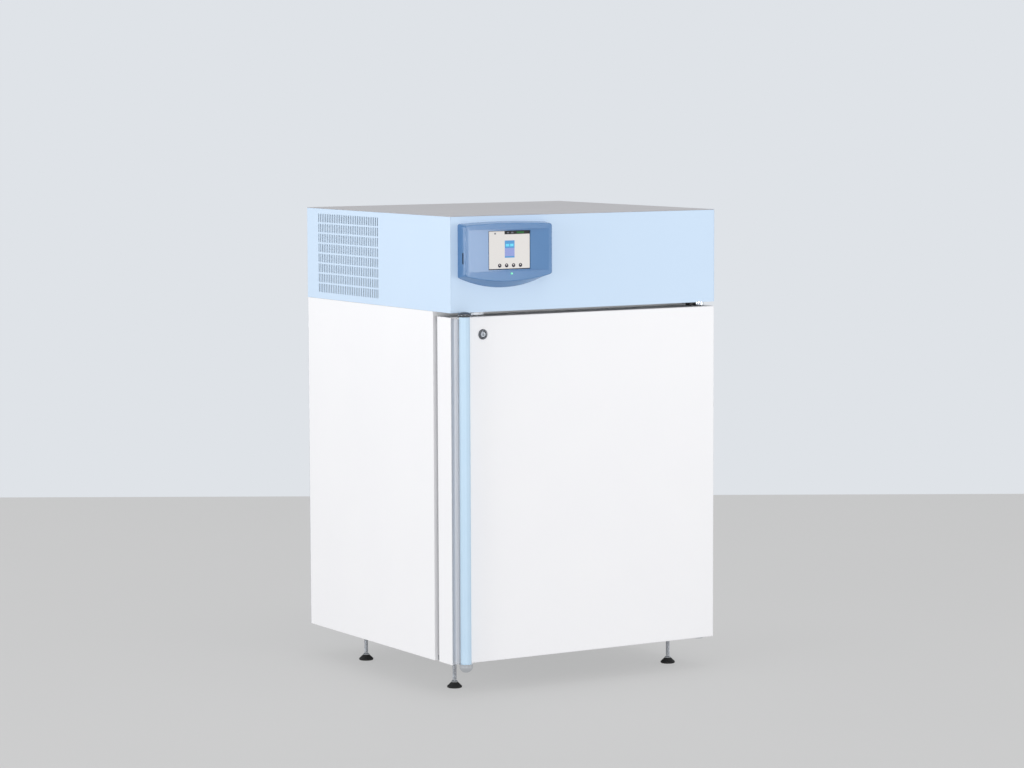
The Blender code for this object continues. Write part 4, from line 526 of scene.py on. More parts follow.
# %% Finishes on the carried-over nodes
FINISH_OF_SLOT = {
    "white_enamel": WHITE_COAT, "pale_blue_enamel": BLUE_COAT, "grey_enamel": GREY_COAT,
    "black_enamel": BLACK_ENAMEL, "zinc_sheet": ZINC, "stainless": STAINLESS, "aluminium": FIN_METAL,
    "bar_coat": BAR_LACQUER, "chrome": CHROME, "blue_plastic": HOOD_LACQUER, "grey_plastic": GREY_PLASTIC,
    "black_plastic": BLACK_PLASTIC, "board_housing": BOX_PLASTIC, "gasket": GASKET_RUBBER,
    "pad_rubber": PAD_RUBBER, "foam": FOAM, "screen_glass": SCREEN_GLASS, "lamp_lens": LAMP_LENS,
}
slot_of = {part["node"]: part["material_slot"] for part in frame["record"]["subparts"]}
for node, slot in slot_of.items():
    for material_slot in nodes[node].material_slots:
        material_slot.material = FINISH_OF_SLOT[slot]
print("finishes set on", len(nodes), "nodes")

# %% [markdown]
# ## Folded sheet panels
# The outer panels are bent sheet, and each bend has a small radius that catches a line of light. The CAD
# has the right folds with sharp corners, so refined copies are rounded by about the thickness of the sheet.
# Each copy takes the finish of the slot of the node that it stands for.


# %% Side panels, rear panel, lid and door
def dressed_copy(name, node, body, radius_mm=0.0, segments=2, angle=40):
    piece = refined(name, node, radius_mm, segments, angle)
    dress(piece, body, FINISH_OF_SLOT[slot_of[node]], slot_of[node], node)


dressed_copy("cabinet_side_left", "side_panel_left", "cabinet", 1.0, 3)
dressed_copy("cabinet_side_right", "side_panel_right", "cabinet", 1.0, 3)
dressed_copy("cabinet_back", "rear_panel", "cabinet", 0.5, 2, 20)
dressed_copy("head_side_right", "head_panel_right", "cabinet", 0.5)
dressed_copy("head_lid", "head_panel_top", "cabinet", 0.4)
dressed_copy("door_skin", "door_shell", "door")
dressed_copy("door_inside_panel", "door_inner_panel", "door", 0.6, 2, 20)

# %% [markdown]
# ## Vent panel
# The left side of the head is punched with eight rows of fine upright slots, thirty-four to a row. One
# cell, a slot with the sheet round it, is shaped from a circle: the halves move apart to make the slot, and
# an outer ring is drawn out to the cell's border. Two arrays repeat it, and the borders are then pulled to
# the panel's edges. Cutting 272 holes by boolean would be slower and leave worse faces.


# %% One slot cell, repeated
def array(piece, count, offset, **settings):
    """Repeats a piece, each time moved by offset from the last."""
    apply_modifier(piece, "ARRAY", count=count, use_relative_offset=False, use_constant_offset=True,
                   constant_offset_displace=offset, **settings)


VENT_START, VENT_WIDE = FRONT + 352 * MM, 317.9 * MM
VENT_COLUMNS, VENT_ROWS = 34, 8
CELL_WIDE, CELL_TALL = VENT_WIDE / VENT_COLUMNS, 25.4 * MM
SLOT_WIDE, SLOT_TALL, SLOT_CORNERS = 3.9 * MM, 22.2 * MM, 20
SLOTS_BELOW_TOP = 14 * MM
VENT_TOP = TOP - SLOTS_BELOW_TOP + (CELL_TALL - SLOT_TALL) / 2
panel_low, panel_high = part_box("head_panel_left")

vent = new_object("head_vent_panel", bpy.ops.mesh.primitive_circle_add, vertices=SLOT_CORNERS,
                  radius=SLOT_WIDE / 2, rotation=(0, 0, math.pi / SLOT_CORNERS))
seat(vent)
straight = (SLOT_TALL - SLOT_WIDE) / 2


def to_upright(place):
    """From the flat circle to the panel's plane, with the halves moved apart."""
    return (LEFT, place.x, place.y + math.copysign(straight, place.y))


def to_cell_border(place):
    """From the slot's outline out to the border of its cell."""
    y, z = place.y, place.z - math.copysign(straight, place.z)
    reach = max(abs(y), abs(z))
    return (LEFT, y / reach * CELL_WIDE / 2, z / reach * CELL_TALL / 2)


with editing(vent):
    bpy.ops.mesh.select_mode(type="VERT")
    bpy.ops.mesh.select_all(action="SELECT")
    shape_picked(vent, to_upright)
    bpy.ops.mesh.extrude_edges_move(TRANSFORM_OT_translate={"value": (0, 0, 0)})
    shape_picked(vent, to_cell_border)
vent.location = (0, VENT_START + CELL_WIDE / 2, VENT_TOP - CELL_TALL / 2)
seat(vent)
for count, offset in ((VENT_COLUMNS, (0, CELL_WIDE, 0)), (VENT_ROWS, (0, 0, -CELL_TALL))):
    array(vent, count, offset, use_merge_vertices=True, merge_threshold=1e-5)

# %% [markdown]
# The open borders of the slotted field are extruded one side after the other until they meet the panel's
# edges. Solidify then gives the sheet its thickness, inwards.


# %% Borders and thickness of the vent panel
def pull_border(piece, axis, now, goal):
    """Extrudes the open edges that lie at now along an axis, out to goal."""
    with editing(piece):
        pick_edges(piece, lambda edge: edge.is_boundary and all(
            abs(corner.co[axis] - now) < 1e-5 for corner in edge.verts))
        bpy.ops.mesh.extrude_edges_move(TRANSFORM_OT_translate={"value": (0, 0, 0)})
        shape_picked(piece, lambda place: [goal if i == axis else place[i] for i in range(3)])


VENT_END = VENT_START + VENT_COLUMNS * CELL_WIDE
VENT_BOTTOM = VENT_TOP - VENT_ROWS * CELL_TALL
pull_border(vent, 1, VENT_START, FRONT)
pull_border(vent, 1, VENT_END, BACK)
pull_border(vent, 2, VENT_TOP, panel_high.z)
pull_border(vent, 2, VENT_BOTTOM, panel_low.z)
close_up(vent)
if sum(face.normal.x for face in vent.data.polygons) > 0:
    with editing(vent, "SELECT"):
        bpy.ops.mesh.flip_normals()
apply_modifier(vent, "SOLIDIFY", thickness=SHEET, offset=-1)
shade(vent, 30)
dress(vent, "cabinet", BLUE_COAT, "pale_blue_enamel", "head_panel_left")

# %% [markdown]
# ## Control hood
# The blue hood is one moulding that bulges from the head. Its outline has a slightly arched top, straight
# sides and a deep arc below. The outline is drawn as a flat face and extruded in steps, each a little
# smaller and with its lower arc higher, which gives the draft of the sides and the sloping chin. A wide,
# flat lens is then cut from the front, so that the whole face bows inwards, and the rim that it leaves is
# rounded.


# %% Outline of the hood
HOOD_LEFT, HOOD_RIGHT = BEZEL_LOW.x, BEZEL_HIGH.x
HOOD_FOOT, HOOD_FACE = BEZEL_HIGH.y, BEZEL_LOW.y
HOOD_TOP = TOP - 18.5 * MM
HOOD_SIDE = 130 * MM
HOOD_DRAFT, HOOD_CHIN, HOOD_CORNER = 4 * MM, 13 * MM, 6 * MM
HOOD_TOP_ARCH, HOOD_BOTTOM_ARCH = 3 * MM, 23.5 * MM
HOOD_STEPS = ((0.0, 0.0, 0.0), (0.50, 0.40, 0.45), (0.92, 0.75, 0.85), (1.0, 1.0, 1.0))


def arch(x0, x1, level, rise, steps):
    """Points of a circular arc over the chord from x0 to x1."""
    radius = ((x1 - x0) ** 2 / 4 + rise ** 2) / (2 * abs(rise))
    middle = (x0 + x1) / 2
    points = []
    for i in range(steps + 1):
        x = x0 + (x1 - x0) * i / steps
        height = math.sqrt(radius ** 2 - (x - middle) ** 2) - (radius - abs(rise))
        points.append((x, level + math.copysign(height, rise)))
    return points


def round_corner(x, z, radius, start, end, steps):
    turns = [math.radians(start + (end - start) * i / steps) for i in range(steps + 1)]
    return [(x + radius * math.cos(t), z + radius * math.sin(t)) for t in turns]


def hood_outline(inset, chin, y):
    """The outline at depth y. Inset draws it in all round, and chin lifts the arc below."""
    x0, x1, corner = HOOD_LEFT + inset, HOOD_RIGHT - inset, HOOD_CORNER
    top = HOOD_TOP - inset
    bottom = HOOD_TOP - HOOD_SIDE + inset * 0.5 + chin * 0.3
    outline = arch(x0 + corner, x1 - corner, top, HOOD_TOP_ARCH, 24)
    outline += round_corner(x1 - corner, top - corner, corner, 60, 0, 5)
    outline += round_corner(x1 - corner, bottom + corner, corner, 0, -45, 4)
    outline += arch(x1 - corner * 1.3, x0 + corner * 1.3, bottom - corner / 6, chin - HOOD_BOTTOM_ARCH, 36)
    outline += round_corner(x0 + corner, bottom + corner, corner, 225, 180, 4)
    outline += round_corner(x0 + corner, top - corner, corner, 180, 120, 5)
    return [Vector((x, y, z)) for x, z in outline]


# %% Hood extruded in steps
def drawn_out(name, sections):
    """Extrudes a flat face through sections that have the same number of corners."""
    piece = plate(name, sections[0])
    with editing(piece, "SELECT"):
        for before, after in zip(sections, sections[1:]):
            push(0, 0, 0)
            goal = {tuple(round(v, 6) for v in old): new for old, new in zip(before, after)}
            shape_picked(piece, lambda place: goal[tuple(round(v, 6) for v in place)])
    close_up(piece, 1e-7)
    return piece


FACE_WIDE, FACE_BOW, FACE_RIM = 260 * MM, 2.0 * MM, 1.0 * MM
CUTTER_REACH = 20 * MM
depth = HOOD_FACE - HOOD_FOOT
hood = drawn_out("control_hood", [
    hood_outline(HOOD_DRAFT * inset, HOOD_CHIN * chin, HOOD_FOOT + depth * reach)
    for reach, inset, chin in HOOD_STEPS])


def lens(name, wide, deep, low, high):
    """A cutter in front of the hood whose rear is an arc over the width."""
    middle = (HOOD_LEFT + HOOD_RIGHT) / 2
    rear = arch(middle - wide / 2, middle + wide / 2, HOOD_FACE, deep, 48)
    outline = [Vector((x, y, low)) for x, y in rear]
    outline += [corner - Vector((0, CUTTER_REACH, 0)) for corner in (outline[-1], outline[0])]
    piece = plate(name, outline)
    with editing(piece, "SELECT"):
        push(z=high - low)
    close_up(piece)
    return piece


cut(hood, lens("face_lens", FACE_WIDE, FACE_BOW, BEZEL_LOW.z - CUTTER_REACH, BEZEL_HIGH.z + CUTTER_REACH))
with editing(hood):
    rim_edges = pick_edges(hood, lambda edge: edge.calc_face_angle(0) > math.radians(35) and all(
        corner.co.y < HOOD_FACE + FACE_BOW + 0.3 * MM for corner in edge.verts))
    bpy.ops.mesh.bevel(offset=FACE_RIM, segments=3, affect="EDGES")
print("hood blank", len(hood.data.polygons), "faces,", rim_edges, "rim edges rounded")

# %% [markdown]
# The dish is a shallow lens cut across the face, deepest at the screen and running out to nothing at both
# ends, so its upper and lower edges show as two creases that fade. The hollow back is a smaller hood, and
# the openings for the screen, the card slot and the lamp go right through.

# %% Dish, hollow back and openings
WALL = 2.5 * MM
screen_low, screen_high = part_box("touch_screen")
lamp_middle = middle_of("status_lamp")
card_low, card_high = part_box("card_slot")
DISH_WIDE, DISH_DEEP, DISH_MARGIN = 234 * MM, screen_low.y - HOOD_FACE, 4 * MM

dish = lens("dish", DISH_WIDE, DISH_DEEP, screen_low.z - DISH_MARGIN, screen_high.z + DISH_MARGIN)
hollow = drawn_out("hollow", [
    hood_outline(WALL, WALL * 0.3, HOOD_FOOT + MM),
    hood_outline(WALL + HOOD_DRAFT * 0.8, HOOD_CHIN * 0.8, HOOD_FACE + 10 * MM)])
cut(hood, hollow)
cut(hood, dish)
SCREEN_GAP = 0.3 * MM
around = Vector((SCREEN_GAP, CUTTER_REACH, SCREEN_GAP))
cut(hood, block("window", screen_low - around, screen_high + around))
cut(hood, block("card_window", (LEFT, card_low.y, card_low.z), card_high))
cut(hood, lathe("lamp_bore", [(0, -20), (2.8, -20), (2.8, 40), (0, 40)], lamp_middle, "Y", 24))
shade(hood, 28)
apply_modifier(hood, "WEIGHTED_NORMAL", keep_sharp=True)
dress(hood, "cabinet", HOOD_LACQUER, "blue_plastic", "control_bezel")

# %% [markdown]
# ## Screen
# The display is a glass plate with a thin black border. What it shows is plain: a pale page, a dark status
# bar, a small picture of a cabinet and four round buttons. Each is a thin tile that stands a hair in front
# of the glass and is lit from itself, as a display is.


# %% Tiles of the display
def lit(name, colour):
    material, tree, shader, place = begin(
        "display_" + name, Roughness=0.25, Specular_IOR_Level=0.2, Emission_Color=linear(colour),
        Emission_Strength=0.45)
    grid = add_node(tree, "ShaderNodeTexChecker", {"Vector": place, "Scale": per_mm(0.5)})
    level = add_node(tree, "ShaderNodeMapRange", {
        "Value": grid.outputs["Fac"], "To Min": 0.45, "To Max": 0.50})
    dark = add_node(tree, "ShaderNodeVectorMath", {0: linear(colour)[:3], "Scale": level.outputs["Result"]},
                    operation="SCALE")
    tree.links.new(dark.outputs["Vector"], shader.inputs["Base Color"])
    return material


TILE_STEP, TILE_THICK = 0.08, 0.2
page_low = screen_low + Vector((1.8, 0, 1.8)) * MM
page_high = screen_high - Vector((0.8, 0, 0.8)) * MM
page_size = page_high - page_low
tiles = []


def on_page(across, down):
    """The x and z of a place given as shares of the page, from its upper left corner."""
    return page_low.x + across * page_size.x, page_high.z - down * page_size.z


def tile(layer, across, down, material):
    """A thin tile between two shares across the page and two down it."""
    front = screen_low.y - layer * TILE_STEP * MM
    left, upper = on_page(across[0], down[0])
    right, lower = on_page(across[1], down[1])
    piece = block("tile", (left, front, lower), (right, front + TILE_THICK * MM, upper))
    piece.data.materials.append(material)
    tiles.append(piece)


def button(across, down, radius_mm, layer, material):
    x, z = on_page(across, down)
    back, front = TILE_THICK / 2, -layer * TILE_STEP
    outline = [(0, back), (radius_mm, back), (radius_mm, front), (0, front)]
    piece = lathe("button", outline, (x, screen_low.y, z), "Y", 20)
    piece.data.materials.append(material)
    tiles.append(piece)


PAGE, STRIP, LEAF, MARK, BODY, SKY, ROOF, INK = (lit(name, colour) for name, colour in (
    ("page", "#E8E5E2"), ("bar", "#121518"), ("green", "#1E6A30"), ("mark", "#70727C"),
    ("body", "#9AA6E0"), ("sky", "#74E2FF"), ("roof", "#5AA0DA"), ("ink", "#2C2536")))
tile(1, (0, 1), (0, 1), PAGE)
tile(2, (0.38, 1), (0, 0.085), STRIP)
tile(3, (0.68, 0.86), (0.018, 0.066), LEAF)
tile(3, (0.44, 0.49), (0.025, 0.060), MARK)
tile(3, (0.54, 0.60), (0.025, 0.060), MARK)
tile(2, (0.13, 0.17), (0.04, 0.08), MARK)
tile(2, (0.385, 0.625), (0.25, 0.71), BODY)
tile(3, (0.385, 0.625), (0.25, 0.45), ROOF)
tile(4, (0.410, 0.495), (0.34, 0.41), SKY)
tile(4, (0.515, 0.600), (0.34, 0.41), SKY)
tile(3, (0.385, 0.625), (0.67, 0.71), ROOF)
for across in (0.26, 0.43, 0.60, 0.77):
    button(across, 0.915, 4.8, 2, INK)
    button(across, 0.900, 1.5, 3, PAGE)
# The display keeps the materials of its tiles, so it is given its body without one finish.
display = join(tiles)
display.name = "display_picture"
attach(display, "cabinet")
dressed_copy("display_glass", "touch_screen", "cabinet", 0.4)
lamp = lathe("lamp_dome", [(0, 8), (2.5, 8), (2.5, 0), (2.2, -0.35), (1.4, -0.55), (0, -0.6)],
             (lamp_middle.x, HOOD_FACE, lamp_middle.z), "Y", 24)
dress(lamp, "cabinet", LAMP_LENS, "lamp_lens", "status_lamp")

# %% [markdown]
# ## Door lock
# A cam lock shows a plated ring and, inside it, the plug with its key slot. Both are turned, with a raised
# rim and a sunk ring that give the metal something to reflect. The key slot is cut into the plug alone, so
# that it turns.

# %% Ring and plug
LOCK = middle_of("lock_housing")
LOCK.y = FRONT
ring = lathe("lock_ring", [
    (7.2, 26), (10, 26), (10, -0.3), (12.5, -0.3), (12.5, -1.0), (12.2, -1.5), (11.5, -1.8), (10.4, -1.8),
    (9.7, -1.2), (8.4, -1.2), (7.7, -1.8), (7.2, -1.5), (7.2, 26)], LOCK, "Y", 64)
# The lock's ring is chrome, and its darker finish is a painted reflection of dark surroundings.
dress(ring, "door", CHROME_DARKENED_AS_REFLECTION, "chrome", "lock_housing")
plug = lathe("lock_plug", [
    (0, -1.4), (5.2, -1.4), (5.7, -1.8), (6.4, -1.8), (6.7, -1.5), (6.7, 28.7), (3, 28.7), (3, 35), (0, 35)],
    LOCK, "Y", 48)
keyway = block("keyway", LOCK + Vector((-0.9, -3, -4)) * MM, LOCK + Vector((0.9, 10.2, 4)) * MM)
soften(keyway, 0.35, 2)
cut(plug, keyway)
shade(plug)
dress(plug, "lock", CHROME, "chrome", "lock_cylinder")

# %% [markdown]
# ## Handle
# The handle is a lacquered tube as long as the door, on three short posts. A turned chrome cup closes either
# end. The upper cup is painted darker, a painted reflection of the shaded underside of the head, and the
# lower is plain chrome. The lower cup's rim stands round the tube, and both end in a low dome. The door's
# edge behind the handle is an extruded profile with a hollow for the fingers.

# %% Bar, posts, caps and edge profile
BAR_RADIUS, BAR_ROUNDING, PAST_BAR_END = 13, 0.8, 3
bar_low, bar_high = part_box("handle_bar")
BAR = Vector((middle_of("handle_bar").x, bar_low.y + BAR_RADIUS * MM, 0))
bar_end = (bar_high.z - bar_low.z) / MM + PAST_BAR_END
bar = lathe("grip_bar", [
    (0, 0), (BAR_RADIUS - BAR_ROUNDING, 0), (BAR_RADIUS, BAR_ROUNDING), (BAR_RADIUS, bar_end - BAR_ROUNDING),
    (BAR_RADIUS - BAR_ROUNDING, bar_end), (0, bar_end)], (BAR.x, BAR.y, bar_low.z), "Z", 64)
POST_RADIUS, POST_START, POST_HEIGHTS = 4, 11, (137, 494, 851)
post_reach = (FRONT - BAR.y) / MM - 0.3
post_outline = [(0, POST_START), (POST_RADIUS, POST_START), (POST_RADIUS, post_reach), (0, post_reach)]
posts = [lathe("post", post_outline, (BAR.x, BAR.y, height * MM), "Y", 32) for height in POST_HEIGHTS]
dress(join([bar, *posts]), "door", BAR_LACQUER, "bar_coat", "handle_bar")

CUP_FLOOR, CUP_BORE = 3.2, 13.1
FLARE_IN, FLARE_TALL = 0.3, 1.2


def grip_cap(end, level, rim, rim_radius, flare, dome_low, dome_high):
    """A turned cup. The heights of rim and dome are in mm outward from level, the door's end."""
    outline = [(0, CUP_FLOOR), (CUP_BORE, CUP_FLOOR), (CUP_BORE, rim), (rim_radius, rim),
               (flare - FLARE_IN, dome_low - FLARE_TALL), (flare, dome_low)]
    for angle in (math.radians(degrees) for degrees in range(15, 91, 15)):
        outline.append((flare * math.cos(angle), dome_low + (dome_high - dome_low) * math.sin(angle)))
    out = 1 if end == "upper" else -1
    outline = [(radius, out * height) for radius, height in outline]
    return lathe("grip_cap_" + end, outline, (BAR.x, BAR.y, level))


# Both cups are chrome, and the upper cup's darker finish is a painted reflection of the shaded underside of
# the head.
for end, level, finish, sizes in (
        ("upper", DOOR_HIGH.z, CHROME_DARKENED_AS_REFLECTION, (3.4, 14.6, 16.8, 6.6, 14.6)),
        ("lower", DOOR_LOW.z, CHROME, (-4.5, 16.5, 16.3, 3.0, 17.0))):
    dress(grip_cap(end, level, *sizes), "door", finish, "chrome", "handle_cap_" + end)
dress(refined("edge_profile", "handle_channel"), "door", ALUMINIUM, "aluminium", "handle_channel")

# %% [markdown]
# ## Seal, frame, hinges and small fittings
# The seal is a soft extrusion that folds like a bellows. Its CAD section has the folds, so a copy is
# rounded until it looks pressed and not cut. The hinge arms and the frame round the chamber get the small
# radii of plated steel and moulded plastic.

# %% Rounded copies of the fittings
dressed_copy("door_seal", "door_gasket", "door", 1.2, 3, 20)
dressed_copy("mouth_frame", "breaker_frame", "cabinet", 0.8, 3)
dressed_copy("hinge_arm_upper", "hinge_bracket_upper", "cabinet", 0.7)
dressed_copy("hinge_arm_lower", "hinge_bracket_lower", "cabinet", 0.5)
dressed_copy("stop_buffer", "door_stop_block", "cabinet", 0.3)
dressed_copy("chamber_skin", "chamber_liner", "cabinet")
dressed_copy("duct_cover", "air_baffle", "cabinet")
dressed_copy("power_inlet", "mains_inlet", "cabinet")
for side in ("left", "right"):
    rail = "shelf_rail_" + side
    dress(refined("rungs_" + side, rail, 0.5), "cabinet", STEEL_WIRE, "stainless", rail)

# %% [markdown]
# ## Levelling feet
# Each foot is a threaded stud with a cone collar on a rubber pad. A real thread is one helix, but rings
# with the same pitch look the same at this size and close cleanly, so the thread is part of the turned
# outline.

# %% Studs with their thread, and ribbed pads
THREAD_LOW, THREAD_HIGH, THREAD_PITCH = 20, 84, 1.5
MAJOR, MINOR = 5.0, 4.3
stud_outline = [
    (0, 13.8), (8.0, 13.8), (8.2, 14.2), (8.2, 15.4), (5.6, 18.0), (MINOR, 18.4), (MINOR, THREAD_LOW)]
for turn_number in range(int((THREAD_HIGH - THREAD_LOW) / THREAD_PITCH)):
    start = THREAD_LOW + turn_number * THREAD_PITCH
    stud_outline += [(MAJOR, start + 0.6), (MAJOR, start + 0.9), (MINOR, start + THREAD_PITCH)]
stud_outline += [(MAJOR - 0.2, 86), (MAJOR - 0.2, 87.4), (MINOR, 88), (0, 88)]
pad_outline = [
    (0, 0), (16.4, 0), (17.6, 0.6), (18.2, 1.8), (18.2, 4.0), (17.5, 4.8), (15.6, 6.5), (15.2, 6.6),
    (14.9, 7.2), (12.4, 9.6), (12.0, 9.7), (11.7, 10.3), (9.4, 12.5), (8.5, 13.5), (0, 13.5)]
for corner in ("front_left", "front_right", "rear_left", "rear_right"):
    centre = middle_of("foot_pad_" + corner)
    centre.z = 0
    stud = lathe("stud_" + corner, stud_outline, centre, "Z", 32)
    dress(stud, "foot_" + corner, STUD_METAL, "chrome", "foot_stud_" + corner)
    pad = lathe("pad_" + corner, pad_outline, centre)
    dress(pad, "foot_" + corner, PAD_RUBBER, "pad_rubber", "foot_pad_" + corner)

# %% [markdown]
# ## Wire shelves
# A shelf is a rod frame with a row of thinner wires welded across it. The frame starts as a plane with
# rounded corners that is turned into a curve, and the curve's round section makes the rod. One wire is made
# and an array repeats it.


# %% Two shelves
def wire_shelf(name, node, wire_count=27, rod_mm=3.5, wire_mm=1.6):
    low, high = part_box(node)
    rod, wire = rod_mm * MM, wire_mm * MM
    wide, deep = high.x - low.x - 2 * rod, high.y - low.y - 2 * rod
    x, y, level = (low.x + high.x) / 2, (low.y + high.y) / 2, low.z + rod
    rim = new_object("rim", bpy.ops.mesh.primitive_plane_add, size=1, location=(x, y, level))
    rim.scale = (wide, deep, 1)
    seat(rim)
    with editing(rim, "SELECT"):
        bpy.ops.mesh.bevel(offset=14 * MM, segments=6, affect="VERTICES")
        bpy.ops.mesh.select_all(action="SELECT")
        bpy.ops.mesh.delete(type="ONLY_FACE")
    work_on(rim)
    bpy.ops.object.convert(target="CURVE")
    bpy.context.object.data.bevel_depth = rod
    bpy.context.object.data.bevel_resolution = 4
    bpy.ops.object.convert(target="MESH")
    rim = bpy.context.object
    pitch = wide / (wire_count + 1)
    wires = new_object(
        "wires", bpy.ops.mesh.primitive_cylinder_add, vertices=12, radius=wire, depth=deep,
        rotation=(math.pi / 2, 0, 0), location=(low.x + rod + pitch, y, level + rod * 0.9))
    seat(wires)
    array(wires, wire_count, (pitch, 0, 0))
    brace = new_object(
        "brace", bpy.ops.mesh.primitive_cylinder_add, vertices=16, radius=rod * 0.8, depth=wide,
        rotation=(0, math.pi / 2, 0), location=(x, y, level - rod * 0.15))
    seat(brace)
    shelf = join([rim, wires, brace])
    shelf.name = name
    shade(shelf, 50)
    dress(shelf, "cabinet", STEEL_WIRE, "stainless", node)


wire_shelf("shelf_lower", "wire_shelf_lower")
wire_shelf("shelf_upper", "wire_shelf_upper")

# %% [markdown]
# ## Pieces behind the panels
# Fittings that only show through an opening or with the door open keep their CAD shape, with pressed or
# moulded edges. The condenser is the exception: seen through the slots it is a pack of thin fins on tubes,
# so one fin and one tube are made and repeated between two end plates.

# %% Strike, machinery and condenser
dressed_copy("strike_plate", "lock_strike", "cabinet", 0.4)
dressed_copy("compressor_shell", "compressor", "cabinet", 0.8)
dressed_copy("fan_shroud", "condenser_fan_shroud", "cabinet", 0.4)
dressed_copy("electronics_box", "control_box", "cabinet", 1.0)
dressed_copy("motor_case", "circulation_motor", "cabinet", 0.5)
dressed_copy("head_back", "head_panel_rear", "cabinet")

coil_low, coil_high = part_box("condenser")
FIN_PITCH, FIN_SHEET, FIN_START = 4 * MM, 0.4 * MM, 12 * MM
fins = block("fins", (coil_low.x + MM, coil_low.y + FIN_START, coil_low.z + 2 * MM),
             (coil_high.x - MM, coil_low.y + FIN_START + FIN_SHEET, coil_high.z - 2 * MM))
array(fins, int((coil_high.y - coil_low.y - 2 * FIN_START) / FIN_PITCH) + 1, (0, FIN_PITCH, 0))
PLATE_SHEET, PLATE_START = 1.5 * MM, 8 * MM
plates = [
    block("end_plate", (coil_low.x, y, coil_low.z), (coil_high.x, y + PLATE_SHEET, coil_high.z))
    for y in (coil_low.y + PLATE_START, coil_high.y - PLATE_START - PLATE_SHEET)]
TUBE_ROWS, TUBE_EDGE, TUBE_APART = 7, 14 * MM, 16 * MM
TUBE_PITCH = (coil_high.z - coil_low.z - 2 * TUBE_EDGE) / (TUBE_ROWS - 1)
tube_end = (coil_high.y - coil_low.y) / MM / 2
tube_middle = (
    (coil_low.x + coil_high.x - TUBE_APART) / 2, (coil_low.y + coil_high.y) / 2, coil_low.z + TUBE_EDGE)
tube = lathe("tube", [(0, -tube_end), (3.6, -tube_end), (4.8, 1.2 - tube_end), (4.8, tube_end - 1.2),
                      (3.6, tube_end), (0, tube_end)], tube_middle, "Y", 16)
tubes = copies(tube, [
    (TUBE_APART * side, 0, TUBE_PITCH * row)
    for row in range(TUBE_ROWS) for side in (0, 1) if row or side])
dress(join([fins, *plates, tubes]), "cabinet", FIN_METAL, slot_of["condenser"], "condenser")

# %% [markdown]
# ## Back of the cabinet
# The sheets at the back and the duct cover are held by pan-head screws with a cross recess. One screw is
# turned and its recess cut, then it is copied. Over each slot of the head's back sits a pressed louvre: a
# grid is bent into a quarter round that runs out flat at both ends and stays open below.


# %% Screws and louvres
def screws(name, y, out, places):
    """Pan-head screws on the plane at y. They stand out toward out, 1 or -1 along y."""
    first = Vector((places[0][0], y, places[0][1]))
    outline = [(0, -0.3), (4.0, -0.3), (4.0, 0.3), (3.6, 1.1), (2.7, 1.8), (1.4, 2.2), (0, 2.3)]
    head = lathe("screw", [(radius, height * out) for radius, height in outline], first, "Y", 20)
    near, far = sorted((1.0 * out, 4.0 * out))
    for wide, tall in ((0.5, 2.1), (2.1, 0.5)):
        low, high = Vector((-wide, near, -tall)) * MM, Vector((wide, far, tall)) * MM
        cut(head, block("recess", first + low, first + high))
    shade(head, 30)
    row = copies(head, [(x - first.x, 0, z - first.z) for x, z in places[1:]])
    row.name = name
    dress(row, "cabinet", STEEL_WIRE, "stainless")


EDGE = 9 * MM
for name, node, out, columns, rows in (
        ("back_screws", "rear_panel", 1, 2, 5), ("head_back_screws", "head_panel_rear", 1, 3, 2),
        ("duct_screws", "air_baffle", -1, 2, 2)):
    low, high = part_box(node)
    across = [low.x + EDGE + (high.x - low.x - 2 * EDGE) * i / (columns - 1) for i in range(columns)]
    upward = [low.z + EDGE + (high.z - low.z - 2 * EDGE) * i / (rows - 1) for i in range(rows)]
    screws(name, BACK if out > 0 else low.y, out, [(x, z) for x in across for z in upward])

LOUVRE_LEFT, LOUVRE_RIGHT, LOUVRE_MIDDLE = -173.5 * MM, 13.5 * MM, 1037 * MM
LOUVRE_WIDE, LOUVRE_TALL, LOUVRE_DROP, LOUVRE_PROUD = 168 * MM, 7 * MM, 2.5 * MM, 3 * MM
LOUVRE_ROWS, LOUVRE_PITCH = 9, 16 * MM
LOUVRE_LOW = LOUVRE_MIDDLE - LOUVRE_PITCH * (LOUVRE_ROWS - 1) / 2
louvre = new_object("louvres", bpy.ops.mesh.primitive_grid_add, x_subdivisions=36, y_subdivisions=6, size=1)


def louvre_place(place):
    """From the flat grid, one unit wide and tall, to the lowest louvre on the left."""
    turned = (place.y + 0.5) * math.pi / 2
    proud = LOUVRE_PROUD * math.sqrt(max(0, 1 - abs(2 * place.x) ** 8)) * math.sin(turned)
    height = LOUVRE_LOW + LOUVRE_TALL * math.cos(turned) - LOUVRE_DROP
    return (LOUVRE_LEFT + place.x * LOUVRE_WIDE, BACK + proud, height)


with editing(louvre, "SELECT"):
    shape_picked(louvre, louvre_place)
apply_modifier(louvre, "SOLIDIFY", thickness=0.8 * MM, offset=-1)
louvre = copies(louvre, [
    (across, 0, LOUVRE_PITCH * row)
    for row in range(LOUVRE_ROWS) for across in (0, LOUVRE_RIGHT - LOUVRE_LEFT) if row or across])
shade(louvre, 40)
slot = slot_of["head_panel_rear"]
dress(louvre, "cabinet", FINISH_OF_SLOT[slot], slot)

# %% [markdown]
# ## Mains rocker
# The rocker is a moulded key with a shallow hollow. Its two plain marks, a bar for on and a ring for off,
# are filled in pale plastic, so they are thin inlays that lie on the tilted faces and tilt with the key.

